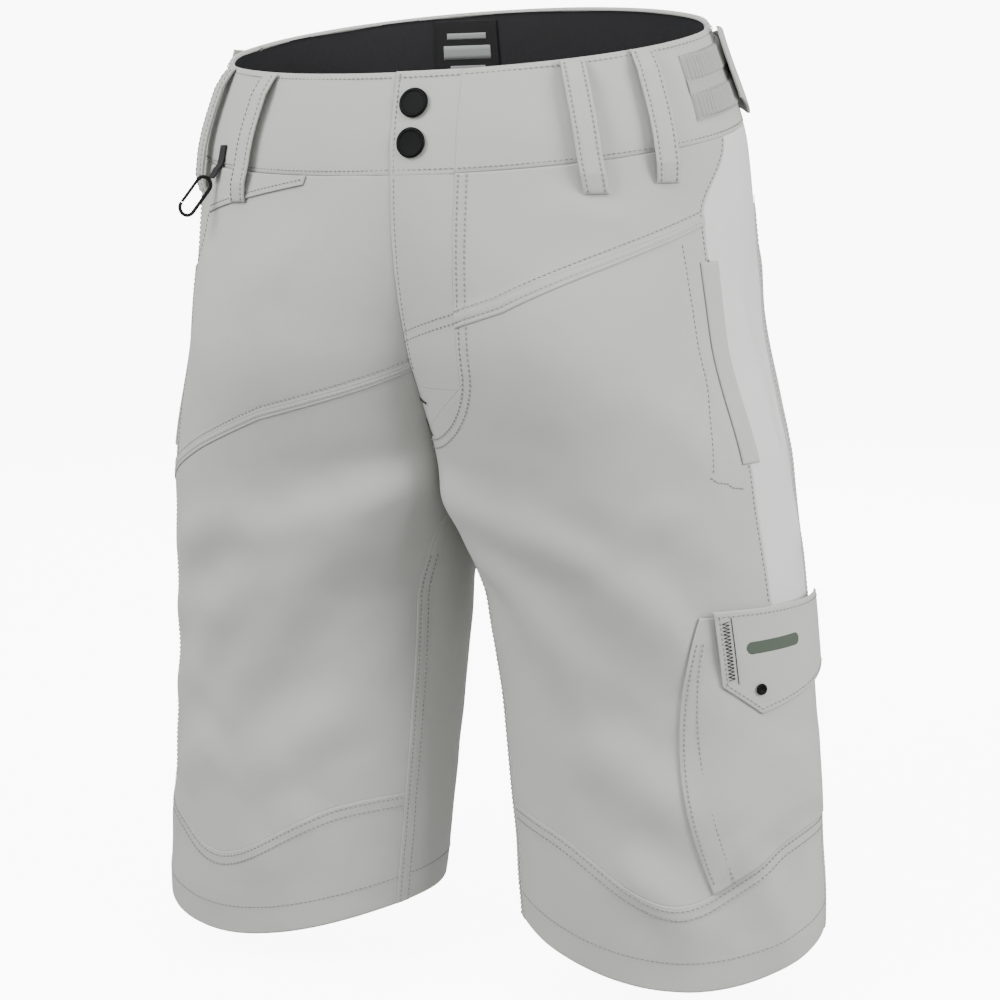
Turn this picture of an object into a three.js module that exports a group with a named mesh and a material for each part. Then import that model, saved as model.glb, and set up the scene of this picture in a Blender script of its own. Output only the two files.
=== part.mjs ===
import * as THREE from 'three';

// Loose riding shorts in light cloth, built as their cut panels, waistband, fly, pockets and trim.
// Millimetres, +X towards the wearer's left, front towards -Y, +Z up. The origin is the middle
// of the waist opening.

// ---- Body sizes -------------------------------------------------------------------------------
const rise = 265;               // waist opening down to the crotch
const inseam = 285;             // crotch down to the hem
const waistHalfWidth = 160;
const hipHalfWidth = 180;
const thighHalfWidth = 187;
const crotchHalfWidth = 207;
const kneeHalfWidth = 221;
const hemHalfWidth = 229;
const kneeGap = 19;             // centre plane to the inside of a leg, at the knee
const hemGap = 32;              // and at the hem
const brimTilt = 0.258;         // how steeply the waist opening climbs towards the back
const bandHeight = 60;
const hemDip = 26;              // how much lower the hem hangs at the front of each leg

// ---- Cloth and clearances ---------------------------------------------------------------------
const cloth = 1.2;              // outer cloth, with its seam allowance
const liningCloth = 0.8;
const seatGap = 0.4;            // between a small stiff piece and the cloth it is sewn to
const drapeGap = 0.8;           // between two curved layers of cloth
const seamGap = 0.8;            // between two panels that are sewn edge to edge

// ---- Fly ----------------------------------------------------------------------------------------
const flyWidth = 41;
const flyPoint = 32;            // height of the fly's slanted lower end
const flyAboveCrotch = 25;
const tabCloth = 1.8;
const snapDiameter = 18;
const snapHeight = 2.2;
const snapPlate = 1.5;          // thickness of a socket and of a stud
const snapInset = 14;           // snap centre to the front edge of the fly
const zipAboveFlyPoint = 13;    // the zip's lower end to where the fly narrows
const zipTapeWidth = 26;
const sliderThickness = 2.2;

// ---- Pockets, loops and trim --------------------------------------------------------------------
const sidePanelFront = -24;     // direction of the side panel's front edge, in degrees
const outseam = 8;              // direction of the side seam
const inseamTurn = 150;         // direction of the inside leg seam, from the outer side
const loopWidth = 16;
const loopTail = 18;            // length of a belt loop below the waistband
const loopStandoff = 8;
const loopCloth = 1.6;
const sidePocketLength = 118;
const channelHalfWidth = 5;     // half the slot that a side pocket's slider runs in
const cargoTop = 77;            // crotch down to the cargo flap's upper edge
const flapLength = 46;
const flapPoint = 18;           // how far the flap's point hangs below its corners
const flapSnapDiameter = 7;
const tabLength = 42;           // waist adjuster's tab, to its lower corners
const tabPoint = 10;
const clipLength = 30;
const clipWidth = 12;
const clipWire = 2.3;

// ---- Levels -------------------------------------------------------------------------------------
const crotchZ = -rise;
const hemZ = crotchZ - inseam;
const upright = new THREE.Vector3(0, 0, 1);

// One section of the garment per level: half its width, how far out the middle of each half lies,
// and how far it reaches to the front and to the back.
const levels = [
  { z: hemZ, half: hemHalfWidth, middle: (hemHalfWidth + hemGap) / 2, front: 75, back: 73 },
  { z: hemZ + 130, half: kneeHalfWidth, middle: (kneeHalfWidth + kneeGap) / 2, front: 73, back: 87 },
  { z: crotchZ, half: crotchHalfWidth, middle: crotchHalfWidth / 2, front: 99, back: 104 },
  { z: crotchZ + 85, half: thighHalfWidth, middle: 80, front: 119, back: 134 },
  { z: -70, half: hipHalfWidth, middle: 9, front: 112, back: 113 },
  { z: -5, half: waistHalfWidth, middle: 0, front: 95, back: 95 },
  { z: 40, half: waistHalfWidth - 13, middle: 0, front: 84, back: 84 },
];

const mix = (a, b, t) => a + (b - a) * t;
const clamp01 = (t) => Math.min(1, Math.max(0, t));
const ease = (t) => clamp01(t) ** 2 * (3 - 2 * clamp01(t));
const radians = THREE.MathUtils.degToRad;
const degrees = THREE.MathUtils.radToDeg;

// A section size at any height, on a smooth curve that never overshoots the levels.
function sizeAt(z, key) {
  const height = Math.min(levels.at(-1).z, Math.max(levels[0].z, z));
  const next = Math.max(1, levels.findIndex((level) => level.z >= height));
  const slope = (i) => (levels[i + 1][key] - levels[i][key]) / (levels[i + 1].z - levels[i].z);
  const tangent = (i) => {
    if (i === 0 || i === levels.length - 1) {
      return slope(Math.min(i, levels.length - 2));
    }
    const [below, above] = [slope(i - 1), slope(i)];
    return below * above <= 0 ? 0 : (2 * below * above) / (below + above);
  };
  const [low, high] = [levels[next - 1], levels[next]];
  const span = high.z - low.z;
  const t = (height - low.z) / span;
  return (2 * t ** 3 - 3 * t ** 2 + 1) * low[key] + (t ** 3 - 2 * t ** 2 + t) * span * tangent(next - 1)
    + (3 * t ** 2 - 2 * t ** 3) * high[key] + (t ** 3 - t ** 2) * span * tangent(next);
}

function sectionAt(z) {
  const front = sizeAt(z, 'front');
  const back = sizeAt(z, 'back');
  const middle = sizeAt(z, 'middle');
  const squareness = Math.min(ease((-100 - z) / (rise - 165)), ease((z - crotchZ + 85) / 85));
  return {
    middle,
    across: sizeAt(z, 'half') - middle,
    along: (front + back) / 2,
    depth: (back - front) / 2,
    power: 2 + 3 * squareness,    // above 2 the inside of the thigh is squarer than an ellipse
  };
}

// A point on one half of the garment. side is 1 for the wearer's left and -1 for the right, turn
// goes from -90 at the front over 0 at the outer side to 90 at the back, and past 90 towards the
// inside of the leg. lift is the height above the cloth's outer face.
function skin(side, turn, z, lift = 0) {
  const section = sectionAt(z);
  const cos = Math.cos(radians(turn));
  const y = Math.sin(radians(turn));
  const inside = cos < 0;
  const power = inside ? section.power : 2;
  const x = inside ? -Math.sqrt(Math.max(0, 1 - Math.abs(y) ** power)) : cos;
  const normal = new THREE.Vector2(
    (2 * x) / section.across,
    (power * Math.sign(y) * Math.abs(y) ** (power - 1)) / section.along,
  ).normalize();
  return new THREE.Vector3(
    side * (section.middle + section.across * x + normal.x * lift),
    section.depth + section.along * y + normal.y * lift,
    z,
  );
}

// The turn at which a half reaches a distance x from the centre plane.
function turnAt(x, z) {
  const section = sectionAt(z);
  const share = (x - section.middle) / section.across;
  if (share >= 0) {
    return degrees(Math.acos(Math.min(1, share)));
  }
  return 180 - degrees(Math.asin((1 - Math.min(1, -share) ** 2) ** (1 / section.power)));
}

// The front of the garment at a distance x from the centre plane.
function frontSkin(x, z, lift = 0) {
  const point = skin(x < 0 ? -1 : 1, -turnAt(Math.abs(x), z), z, lift);
  return Math.abs(x) < 1e-9 ? point.setX(0) : point;
}

// Once round the body: -90 is the centre front, 0 the left side, 90 the back, 180 the right side.
function aroundSkin(way, z, lift = 0) {
  const onRight = way > 90;
  const reach = turnAt(0, z) / 90;
  const point = skin(onRight ? -1 : 1, (onRight ? 180 - way : way) * reach, z, lift);
  return Math.abs(way - 90) < 1e-9 ? point.setX(0) : point;
}

// The direction square to the garment's outer face, and the same direction laid level.
function outward(side, turn, z) {
  const forward = skin(side, turn + 0.5, z).sub(skin(side, turn - 0.5, z));
  const upward = skin(side, turn, z + 1).sub(skin(side, turn, z - 1));
  return forward.cross(upward).multiplyScalar(side).normalize();
}
const sideways = (side, turn, z) => skin(side, turn, z, 1).sub(skin(side, turn, z)).normalize();
const millimetresPerDegree = (turn, z) => skin(1, turn - 0.5, z).distanceTo(skin(1, turn + 0.5, z));

// ---- Seam lines ---------------------------------------------------------------------------------
const brim = (turn) => brimTilt * (sectionAt(0).depth + sectionAt(0).along * Math.sin(radians(turn)));
const bandSeam = (turn) => brim(turn) - bandHeight;
const hem = (turn) => hemZ - hemDip * (0.5 + 0.5 * Math.cos(radians(turn + 73))) ** 3.4;
const kneeSeam = (turn) => hemZ + 70 - 42 * Math.exp(-(((turn + 72) / 35) ** 2));
const frontSeam = {
  1: (turn) => bandSeam(-24) - 46 + 0.72 * (turn + 24),
  '-1': (turn) => crotchZ + 13 - 0.78 * (turn + 62),
};
const backSeam = (turn) => bandSeam(outseam) - 50 - 0.9 * (Math.min(turn, 130) - outseam);
const sideSeam = (z) => sidePanelFront + 12 * ease((z - bandSeam(-24) + 42) / 46);

// The crotch gusset is a diamond folded over the crotch.
const gussetTop = crotchZ + 30;
const gussetLow = crotchZ - 12;
function innerEdge(z) {
  if (z > gussetLow) {
    const share = clamp01((z - gussetLow) / (gussetTop - gussetLow));
    const seamZ = z > gussetTop ? z : mix(crotchZ, gussetTop, share);
    return turnAt(seamGap / 2, seamZ);
  }
  return mix(inseamTurn, 180, (1 - clamp01((gussetLow - z) / 45)) ** 3);
}
const frontInnerEdge = (z) => -innerEdge(z);
const backInnerEdge = (z) => (z > gussetLow ? innerEdge(z) : 360 - innerEdge(z));

// The fly: a strip beside the centre front that narrows to a point near the crotch.
const flyBottom = crotchZ + flyAboveCrotch;
const flyReach = (z) => flyWidth * clamp01((z - flyBottom) / flyPoint);
function flyInnerEdge(z) {
  return z > flyBottom ? -turnAt(flyReach(z) + 1.3 * seamGap, z) : frontInnerEdge(z);
}

// ---- Materials ----------------------------------------------------------------------------------
const finish = (color, roughness, metalness = 0) =>
  new THREE.MeshStandardMaterial({ color, roughness, metalness });
const finishes = {
  cloth: finish(0xb4b4b0, 0.85),
  sidePanel: finish(0xc2c2c0, 0.8),
  lining: finish(0x1a1a1e, 0.9),
  label: finish(0x111113, 0.7),
  tape: finish(0xa4a49f, 0.8),
  mesh: finish(0xcfcfcc, 0.9),
  snap: finish(0x202322, 0.4),
  metal: finish(0x8a8c8e, 0.35, 0.9),
  clip: finish(0x1b1c1c, 0.45),
};

const shorts = new THREE.Group();

// ---- Building blocks ----------------------------------------------------------------------------
// Turns a closed body's faces outwards and adds it as one named part.
function add(name, geometry, material) {
  const position = geometry.attributes.position;
  const index = geometry.index ? [...geometry.index.array] : [...Array(position.count).keys()];
  const corner = (i) => new THREE.Vector3().fromBufferAttribute(position, index[i]);
  let volume = 0;
  for (let i = 0; i < index.length; i += 3) {
    volume += corner(i).dot(corner(i + 1).cross(corner(i + 2)));
  }
  if (volume < 0) {
    index.reverse();
  }
  geometry.setIndex(index);
  const part = new THREE.Mesh(geometry, material);
  part.name = name;
  shorts.add(part);
  return part;
}

// A closed sheet over a grid: an outer face, an inner face and a rim.
// point(u, v, inner) gives the place of each corner, inner being true on the inner face.
function sheet(columns, rows, point) {
  const positions = [];
  const index = [];
  const corner = (inner, i, j) => (inner * (rows + 1) + j) * (columns + 1) + i;
  const quad = (a, b, c, d) => index.push(a, b, c, a, c, d);
  for (const inner of [0, 1]) {
    for (let j = 0; j <= rows; j += 1) {
      for (let i = 0; i <= columns; i += 1) {
        positions.push(...point(i / columns, j / rows, inner === 1).toArray());
      }
    }
  }
  for (let j = 0; j < rows; j += 1) {
    for (let i = 0; i < columns; i += 1) {
      quad(corner(0, i, j), corner(0, i + 1, j), corner(0, i + 1, j + 1), corner(0, i, j + 1));
      quad(corner(1, i, j), corner(1, i, j + 1), corner(1, i + 1, j + 1), corner(1, i + 1, j));
    }
  }
  for (let i = 0; i < columns; i += 1) {
    quad(corner(0, i, 0), corner(1, i, 0), corner(1, i + 1, 0), corner(0, i + 1, 0));
    quad(corner(0, i, rows), corner(0, i + 1, rows), corner(1, i + 1, rows), corner(1, i, rows));
  }
  for (let j = 0; j < rows; j += 1) {
    quad(corner(0, 0, j), corner(0, 0, j + 1), corner(1, 0, j + 1), corner(1, 0, j));
    quad(corner(0, columns, j), corner(1, columns, j), corner(1, columns, j + 1), corner(0, columns, j + 1));
  }
  const geometry = new THREE.BufferGeometry();
  geometry.setAttribute('position', new THREE.Float32BufferAttribute(positions, 3));
  geometry.setIndex(index);
  return geometry;
}

// The turn and height inside a patch whose sides and ends are seam lines, half a gap inside them.
function patchPlace(patch, u, v) {
  const gap = patch.gap ?? seamGap;
  const heightAt = (turn) => mix(patch.bottom(turn) + gap / 2, patch.top(turn) - gap / 2, v);
  // Where the row meets an edge, found by halving the turns between a low and a high one.
  const meet = (edge, low, high) => {
    let [below, above] = [low, high];
    for (let pass = 0; pass < 32; pass += 1) {
      const middle = (below + above) / 2;
      if (middle < edge(heightAt(middle))) {
        below = middle;
      } else {
        above = middle;
      }
    }
    return below;
  };
  const near = patch.from(heightAt(0));
  const start = meet(patch.from, near - 40, near + 40);
  const far = 215;
  const end = patch.to(heightAt(start)) > start ? meet(patch.to, start, far) : meet(patch.to, -far, start);
  const trim = (Math.sign(end - start) * gap) / 2;
  const turn = mix(
    start + trim / millimetresPerDegree(start, heightAt(start)),
    end - trim / millimetresPerDegree(end, heightAt(end)),
    u,
  );
  return { turn, z: heightAt(turn) };
}

// A cut piece of cloth on one half of the garment. Its rows are even, or meet the heights that
// are given along its inner edge, from the bottom up.
function panel(name, side, patch, material = finishes.cloth) {
  const { columns, heights, lift = 0, thickness = cloth } = patch;
  const rows = heights ? heights.length + 1 : patch.rows;
  const rowShare = (row) => {
    if (!heights || row === 0 || row === rows) {
      return row / rows;
    }
    const z = heights[row - 1];
    const turn = patch.to(z);
    return (z - patch.bottom(turn)) / (patch.top(turn) - patch.bottom(turn));
  };
  const geometry = sheet(columns, rows, (u, v, inner) => {
    const { turn, z } = patchPlace(patch, u, rowShare(Math.round(v * rows)));
    return skin(side, turn, z, lift - (inner ? thickness : 0));
  });
  return add(name, geometry, material);
}

// A turned piece standing on the garment: a lathe profile of [radius, height] pairs.
function turned(name, foot, normal, profile, material) {
  const points = profile.map(([radius, height]) => new THREE.Vector2(radius, height));
  const part = add(name, new THREE.LatheGeometry(points, 16), material);
  part.position.copy(foot);
  part.quaternion.setFromUnitVectors(new THREE.Vector3(0, 1, 0), normal);
  return part;
}

const sides = [[1, 'left'], [-1, 'right']];

// Heights at which the leg panels' inner edges bend, from the bottom up.
const gussetShares = [0.04, 0.1, 0.25, 0.5, 0.75];
const evenly = (low, high, count) => Array.from({ length: count }, (_, i) => mix(low, high, i / count));
function legHeights(low, high) {
  const sweep = gussetLow - 45;
  const heights = [
    ...evenly(low, sweep, 5).slice(1), ...evenly(sweep, gussetLow, 3), gussetLow,
    ...gussetShares.map((share) => mix(gussetLow, gussetTop, share)), gussetTop,
    ...evenly(gussetTop, flyBottom + flyPoint, 2).slice(1), flyBottom + flyPoint,
    ...evenly(flyBottom + flyPoint, high, 4).slice(1),
  ];
  return heights.filter((z) => z < high - 4);
}

// ---- Leg, seat and side panels --------------------------------------------------------------------
const sidePocketTop = bandSeam(sidePanelFront) - 68;
const sidePocketBottom = sidePocketTop - sidePocketLength;
const besideSeam = (reach) => (z) => sideSeam(z) + reach / millimetresPerDegree(sideSeam(z), z);
// The panels leave a slot between them along a side pocket's zip.
function channelEdge(direction) {
  return (z) => {
    const open = Math.min(ease((sidePocketTop + 16 - z) / 12), ease((z - sidePocketBottom + 4) / 12));
    return besideSeam(direction * mix(2 * seamGap, channelHalfWidth, open))(z);
  };
}
const [channelFront, channelBack] = [channelEdge(-1), channelEdge(1)];

for (const [side, word] of sides) {
  const frontEdge = side > 0 ? flyInnerEdge : frontInnerEdge;
  panel(`upper_front_${word}`, side, {
    from: channelFront, to: frontEdge, bottom: frontSeam[side], top: bandSeam, columns: 8, rows: 5,
  });
  panel(`front_leg_${word}`, side, {
    from: channelFront, to: frontEdge, bottom: kneeSeam, top: frontSeam[side], columns: 13,
    heights: legHeights(kneeSeam(-inseamTurn), frontSeam[side](-125)),
  });
  panel(`knee_front_${word}`, side, {
    from: () => outseam, to: frontInnerEdge, bottom: hem, top: kneeSeam, columns: 18, rows: 2,
  });
  panel(`side_panel_${word}`, side, {
    from: () => outseam, to: channelBack, bottom: kneeSeam, top: bandSeam, columns: 4, rows: 14,
    gap: 2 * seamGap,
  }, finishes.sidePanel);
  panel(`back_yoke_${word}`, side, {
    from: () => outseam, to: backInnerEdge, bottom: backSeam, top: bandSeam, columns: 8, rows: 2,
  });
  panel(`back_leg_${word}`, side, {
    from: () => outseam, to: backInnerEdge, bottom: hem, top: backSeam, columns: 14,
    heights: legHeights(hem(inseamTurn), backSeam(inseamTurn)),
  });
}

// ---- Crotch gusset ----------------------------------------------------------------------------------
{
  const reach = 0.88;    // the share of the diamond left between the panels' gaps
  const stations = [0, ...gussetShares.map(Math.sqrt)];
  const last = stations.length - 1;
  const geometry = sheet(2 * last, 4, (u, v, inner) => {
    const step = Math.round(u * 2 * last) - last;
    const p = Math.sign(step) * stations[Math.abs(step)];
    const q = mix(-reach, reach, v);
    const seamZ = crotchZ + (gussetTop - crotchZ) * p ** 2;
    const turn = Math.sign(p || 1) * turnAt(0, seamZ);
    const z = seamZ - (crotchZ - gussetLow) * (1 - p ** 2) * Math.abs(q);
    if (Math.abs(q) > 1e-9) {
      return skin(Math.sign(q), turn, z, inner ? -cloth : 0);
    }
    const fold = new THREE.Vector3(0, -p, 1 - Math.abs(p)).setLength(inner ? cloth : 0);
    return skin(1, turn, z).setX(0).add(fold);
  });
  add('crotch_gusset', geometry, finishes.cloth);
}

// ---- Waistband --------------------------------------------------------------------------------------
const wayAt = (x, z) => -90 * (turnAt(x, z) / turnAt(0, z));
const backSide = 180 - outseam;

// A strip of the band between two places round the body. inset is kept free above and below.
function bandStrip(from, to, columns, lift, thickness, inset) {
  return sheet(columns, 3, (u, v, inner) => {
    const start = (z) => (typeof from === 'function' ? from(z) : from);
    const roughWay = mix(start(-bandHeight / 2), to, u);
    const turn = roughWay > 90 ? 180 - roughWay : roughWay;
    const z = mix(bandSeam(turn) + inset, brim(turn) - inset, v);
    return aroundSkin(mix(start(z), to, u), z, lift - (inner ? thickness : 0));
  });
}
{
  const half = seamGap / 2;
  const gapWay = half / 2;    // in degrees, which are about 2 mm each here
  const band = (from, to, columns) => bandStrip(from, to, columns, 0, cloth, half);
  const leftFront = band((z) => wayAt(flyWidth + half, z), outseam - gapWay, 12);
  add('waistband_front_left', leftFront, finishes.cloth);
  add('waistband_back', band(outseam + gapWay, backSide - gapWay, 22), finishes.cloth);
  add('waistband_front_right', band(backSide + gapWay, 270 - gapWay, 14), finishes.cloth);
  const liningLift = -cloth - drapeGap;
  const liningFront = (z) => wayAt(flyWidth + seamGap, z);
  const liningStrip = bandStrip(liningFront, 269, 44, liningLift, liningCloth, 1.5);
  add('waistband_lining', liningStrip, finishes.lining);
  const labelLift = liningLift - liningCloth - drapeGap;
  const labelStrip = sheet(4, 2, (u, v, inner) => {
    const z = mix(brim(90) - 40, brim(90) - 6, v);
    return aroundSkin(mix(96, 112, u), z, labelLift - (inner ? 0.6 : 0));
  });
  add('waistband_label', labelStrip, finishes.label);
}

// ---- Fly: overlap with its snaps, underlap, shield and zip --------------------------------------------
const underlapLift = -(tabCloth + 2 * snapPlate + 3 * drapeGap);
const upperSnapZ = brim(-90) - bandHeight * 0.31;
const lowerSnapZ = upperSnapZ - Math.max(snapDiameter + 4, bandHeight * 0.38);
{
  const half = seamGap / 2;
  const tab = sheet(4, 5, (u, v, inner) => {
    const x = mix(half, flyWidth - half, u);
    const turn = -turnAt(x, -bandHeight);
    return frontSkin(x, mix(bandSeam(turn) + half, brim(turn) - half, v), inner ? -tabCloth : 0);
  });
  add('waistband_fly_tab', tab, finishes.cloth);

  const placket = (low, high, rows) => sheet(4, rows, (u, v, inner) => {
    const z = mix(low, high, v);
    const x = mix(half, Math.max(half + 1, flyReach(z) - half), u);
    return frontSkin(x, z, inner ? -cloth : 0);
  });
  const opensFrom = flyBottom + flyPoint - 2;    // below this the fly is sewn shut
  add('fly_placket', placket(opensFrom + half, bandSeam(-86) - seamGap, 10), finishes.cloth);
  add('fly_placket_end', placket(flyBottom + 2, opensFrom - half, 3), finishes.cloth);

  const capProfile = [[0, 0], [snapDiameter / 2, 0], [snapDiameter / 2, snapHeight * 0.55],
    [snapDiameter * 0.4, snapHeight], [0, snapHeight]];
  const plateProfile = [[0, 0], [snapDiameter / 3, 0], [snapDiameter / 3, snapPlate], [0, snapPlate]];
  for (const [word, z] of [['upper', upperSnapZ], ['lower', lowerSnapZ]]) {
    const normal = outward(1, -turnAt(snapInset, z), z);
    const place = (lift) => frontSkin(snapInset, z).addScaledVector(normal, lift);
    turned(`snap_cap_${word}`, place(drapeGap * 0.8), normal, capProfile, finishes.snap);
    const socketLift = -tabCloth - drapeGap * 0.8 - snapPlate;
    turned(`snap_socket_${word}`, place(socketLift), normal, plateProfile, finishes.metal);
    turned(`snap_stud_${word}`, place(underlapLift + drapeGap), normal, plateProfile, finishes.metal);
  }

  // The underlap comes out from behind the right half of the band and drops below the snaps.
  const behindLining = -cloth - liningCloth - 2 * drapeGap;
  const underlap = sheet(10, 5, (u, v, inner) => {
    const x = mix(-16, flyWidth - 7, u);
    const turn = -turnAt(Math.abs(x), -bandHeight);
    const lift = mix(behindLining, underlapLift, ease((x + 8) / 12)) - (inner ? cloth : 0);
    return frontSkin(x, mix(bandSeam(turn) + 2, brim(turn) - 3, v), lift);
  });
  add('waistband_underlap', underlap, finishes.cloth);
}

// The zip lies between the placket and the shield, and bends with the front of the body.
const zipX = flyWidth * 0.42;
const zipTop = bandSeam(-85) - 6;
const zipLength = zipTop - (flyBottom + flyPoint + zipAboveFlyPoint);
const sliderLift = -cloth - 2 * drapeGap;        // outer face of the slider
const tapeLift = sliderLift - sliderThickness - 0.9;
const shieldLift = tapeLift - liningCloth - drapeGap;
{
  const tape = sheet(4, 10, (u, v, inner) => frontSkin(
    zipX + (u - 0.5) * zipTapeWidth,
    mix(zipTop - zipLength, zipTop, v),
    tapeLift - (inner ? liningCloth : 0),
  ));
  add('fly_zip_tape', tape, finishes.tape);

  // The shield is sewn behind the right front panel and covers the zip from inside.
  const shieldEdge = -14;
  const shield = sheet(9, 10, (u, v, inner) => {
    const z = mix(zipTop - zipLength - 6, bandSeam(-90) - 1, v);
    const x = mix(shieldEdge, flyWidth - 6, u);
    const lift = mix(-cloth - 1.8 * drapeGap, shieldLift, ease((x - shieldEdge - 8) / 12));
    return frontSkin(x, z, lift - (inner ? cloth : 0));
  });
  add('fly_shield', shield, finishes.cloth);
}

// ---- Zip sliders ----------------------------------------------------------------------------------------
// A slider with its pull hanging down: one outline in the plane of the tape's length and height.
function slider(name, place, normal, down, width) {
  const body = new THREE.Shape();
  body.moveTo(0, 0);
  body.lineTo(0, -sliderThickness);
  body.lineTo(9, -sliderThickness);
  body.lineTo(9, -1.1);
  body.lineTo(24, -1.1);
  body.lineTo(24, -0.1);
  body.lineTo(8, -0.1);
  body.lineTo(7, 0);
  body.closePath();
  const geometry = new THREE.ExtrudeGeometry(body, { depth: width, bevelEnabled: false });
  geometry.translate(0, 0, -width / 2);
  const across = new THREE.Vector3().crossVectors(down, normal).normalize();
  const squareNormal = new THREE.Vector3().crossVectors(across, down);
  const part = add(name, geometry, finishes.metal);
  part.position.copy(place);
  part.quaternion.setFromRotationMatrix(new THREE.Matrix4().makeBasis(down, squareNormal, across));
}
{
  const z = zipTop - 3;
  const start = frontSkin(zipX, z, sliderLift);
  const down = frontSkin(zipX, z - 24, sliderLift).sub(start).normalize();
  slider('fly_zip_slider', start, outward(1, -turnAt(zipX, z), z), down, 8);
}

// ---- Side pockets: a zip sunk between the front and side panels -------------------------------------------
for (const [side, word] of sides) {
  const top = () => sidePocketTop;
  const bottom = () => sidePocketBottom;
  const coverReach = channelHalfWidth + 3;
  panel(`pocket_zip_cover_${word}`, side, {
    from: besideSeam(coverReach), to: besideSeam(-coverReach), bottom, top, columns: 2, rows: 8,
    lift: drapeGap + liningCloth, thickness: liningCloth,
  });
  const sliderTop = -cloth * 0.6;
  const channelTape = sliderTop - sliderThickness - 1.6 * seatGap;
  panel(`pocket_zip_tape_${word}`, side, {
    from: besideSeam(channelHalfWidth + 6), to: besideSeam(-channelHalfWidth - 6), bottom, top, columns: 2, rows: 8,
    lift: channelTape, thickness: liningCloth,
  }, finishes.tape);
  const z = sidePocketTop - 5;
  const start = skin(side, sideSeam(z), z, sliderTop);
  const down = skin(side, sideSeam(z - 24), z - 24, sliderTop).sub(start).normalize();
  slider(`pocket_zip_slider_${word}`, start, outward(side, sideSeam(z), z), down, 7);

  // The bag hangs behind the zip, its rim close under the panels.
  const bagDeep = channelTape - liningCloth - drapeGap;
  const bag = {
    from: besideSeam(30), to: besideSeam(-62), top: () => sidePocketTop + 14,
    bottom: () => sidePocketBottom - 26,
  };
  const stations = [0, 0.11, 0.35, 0.62, 0.93, 1];    // a flat back inside a sloping rim
  const bagSheet = sheet(5, 5, (u, v, inner) => {
    const [column, row] = [Math.round(u * 5), Math.round(v * 5)];
    const { turn, z: height } = patchPlace(bag, stations[column], stations[row]);
    const onRim = [0, 5].includes(column) || [0, 5].includes(row);
    const lift = onRim ? -cloth - 1.6 * drapeGap : bagDeep;
    return skin(side, turn, height, lift - (inner ? liningCloth : 0));
  });
  add(`pocket_bag_${word}`, bagSheet, finishes.mesh);
}

const facingLift = drapeGap + liningCloth;    // outer face of the key pocket's facing

// ---- Belt loops ---------------------------------------------------------------------------------------------
const loopPlaces = [
  ['belt_loop_front_left', 1, -52], ['belt_loop_side_left', 1, -34],
  ['belt_loop_front_right', -1, -56], ['belt_loop_side_right', -1, -34],
  ['belt_loop_back_left', 1, 58], ['belt_loop_back_right', -1, 58],
  ['belt_loop_back_centre', 1, 90],
];
for (const [name, side, turn] of loopPlaces) {
  const highFoot = seatGap;
  const lowFoot = seatGap + (name === 'belt_loop_front_right' ? facingLift : 0);
  const high = brim(turn) - 2;
  const low = bandSeam(turn) - loopTail;
  const normal = sideways(side, turn, (high + low) / 2);
  const base = skin(side, turn, (high + low) / 2);
  const out = (z, lift) => skin(side, turn, z, lift).sub(base).dot(normal);
  const inner = [
    [out(high, highFoot), high], [out(high - 8, loopStandoff), high - 8],
    [out(low + 8, loopStandoff), low + 8], [out(low, lowFoot), low],
  ];
  const outline = new THREE.Shape();
  inner.forEach(([reach, z], i) => (i ? outline.lineTo(reach, z) : outline.moveTo(reach, z)));
  inner.reverse().forEach(([reach, z]) => outline.lineTo(reach + loopCloth, z));
  outline.closePath();
  const geometry = new THREE.ExtrudeGeometry(outline, { depth: loopWidth, bevelEnabled: false });
  geometry.translate(0, 0, -loopWidth / 2);
  const loop = add(name, geometry, finishes.cloth);
  loop.position.set(turn === 90 ? 0 : base.x, base.y, 0);
  const along = new THREE.Vector3().crossVectors(normal, upright);
  loop.quaternion.setFromRotationMatrix(new THREE.Matrix4().makeBasis(normal, upright, along));
}

// ---- Waist adjusters ------------------------------------------------------------------------------------------
for (const [side, word] of sides) {
  const front = () => -22;
  const back = () => 36;
  const ladder = {
    from: front, to: back, bottom: (turn) => brim(turn) - 47, top: (turn) => brim(turn) - 9,
    columns: 14, rows: 2, lift: drapeGap + liningCloth, thickness: liningCloth,
  };
  panel(`adjuster_ladder_${word}`, side, ladder, finishes.tape);

  // The tab is stiff, stands clear of the ladder and points down.
  const tabLift = drapeGap + liningCloth + 3.6;
  const tab = sheet(6, 1, (u, v, inner) => {
    const turn = mix(-1, 33, u);
    const point = Math.min(1, u * 2.2, (1 - u) * 1.6) * tabPoint;
    const z = mix(brim(16) - 6 - tabLength - point, brim(16) - 6, v);
    return skin(side, turn, z, tabLift - (inner ? cloth : 0));
  });
  add(`adjuster_tab_${word}`, tab, finishes.cloth);

  // The strap runs from behind the tab's rear edge back to its bar tack on the band.
  const strapLift = drapeGap + cloth;
  const strap = sheet(5, 2, (u, v, inner) => {
    const turn = mix(33.2, 54, u);
    const z = mix(brim(turn) - 44, brim(turn) - 14, v);
    return skin(side, turn, z, strapLift - (inner ? cloth : 0) + (1 - ease(u * 2)) * (tabLift - strapLift));
  });
  add(`adjuster_strap_${word}`, strap, finishes.tape);
}

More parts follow.
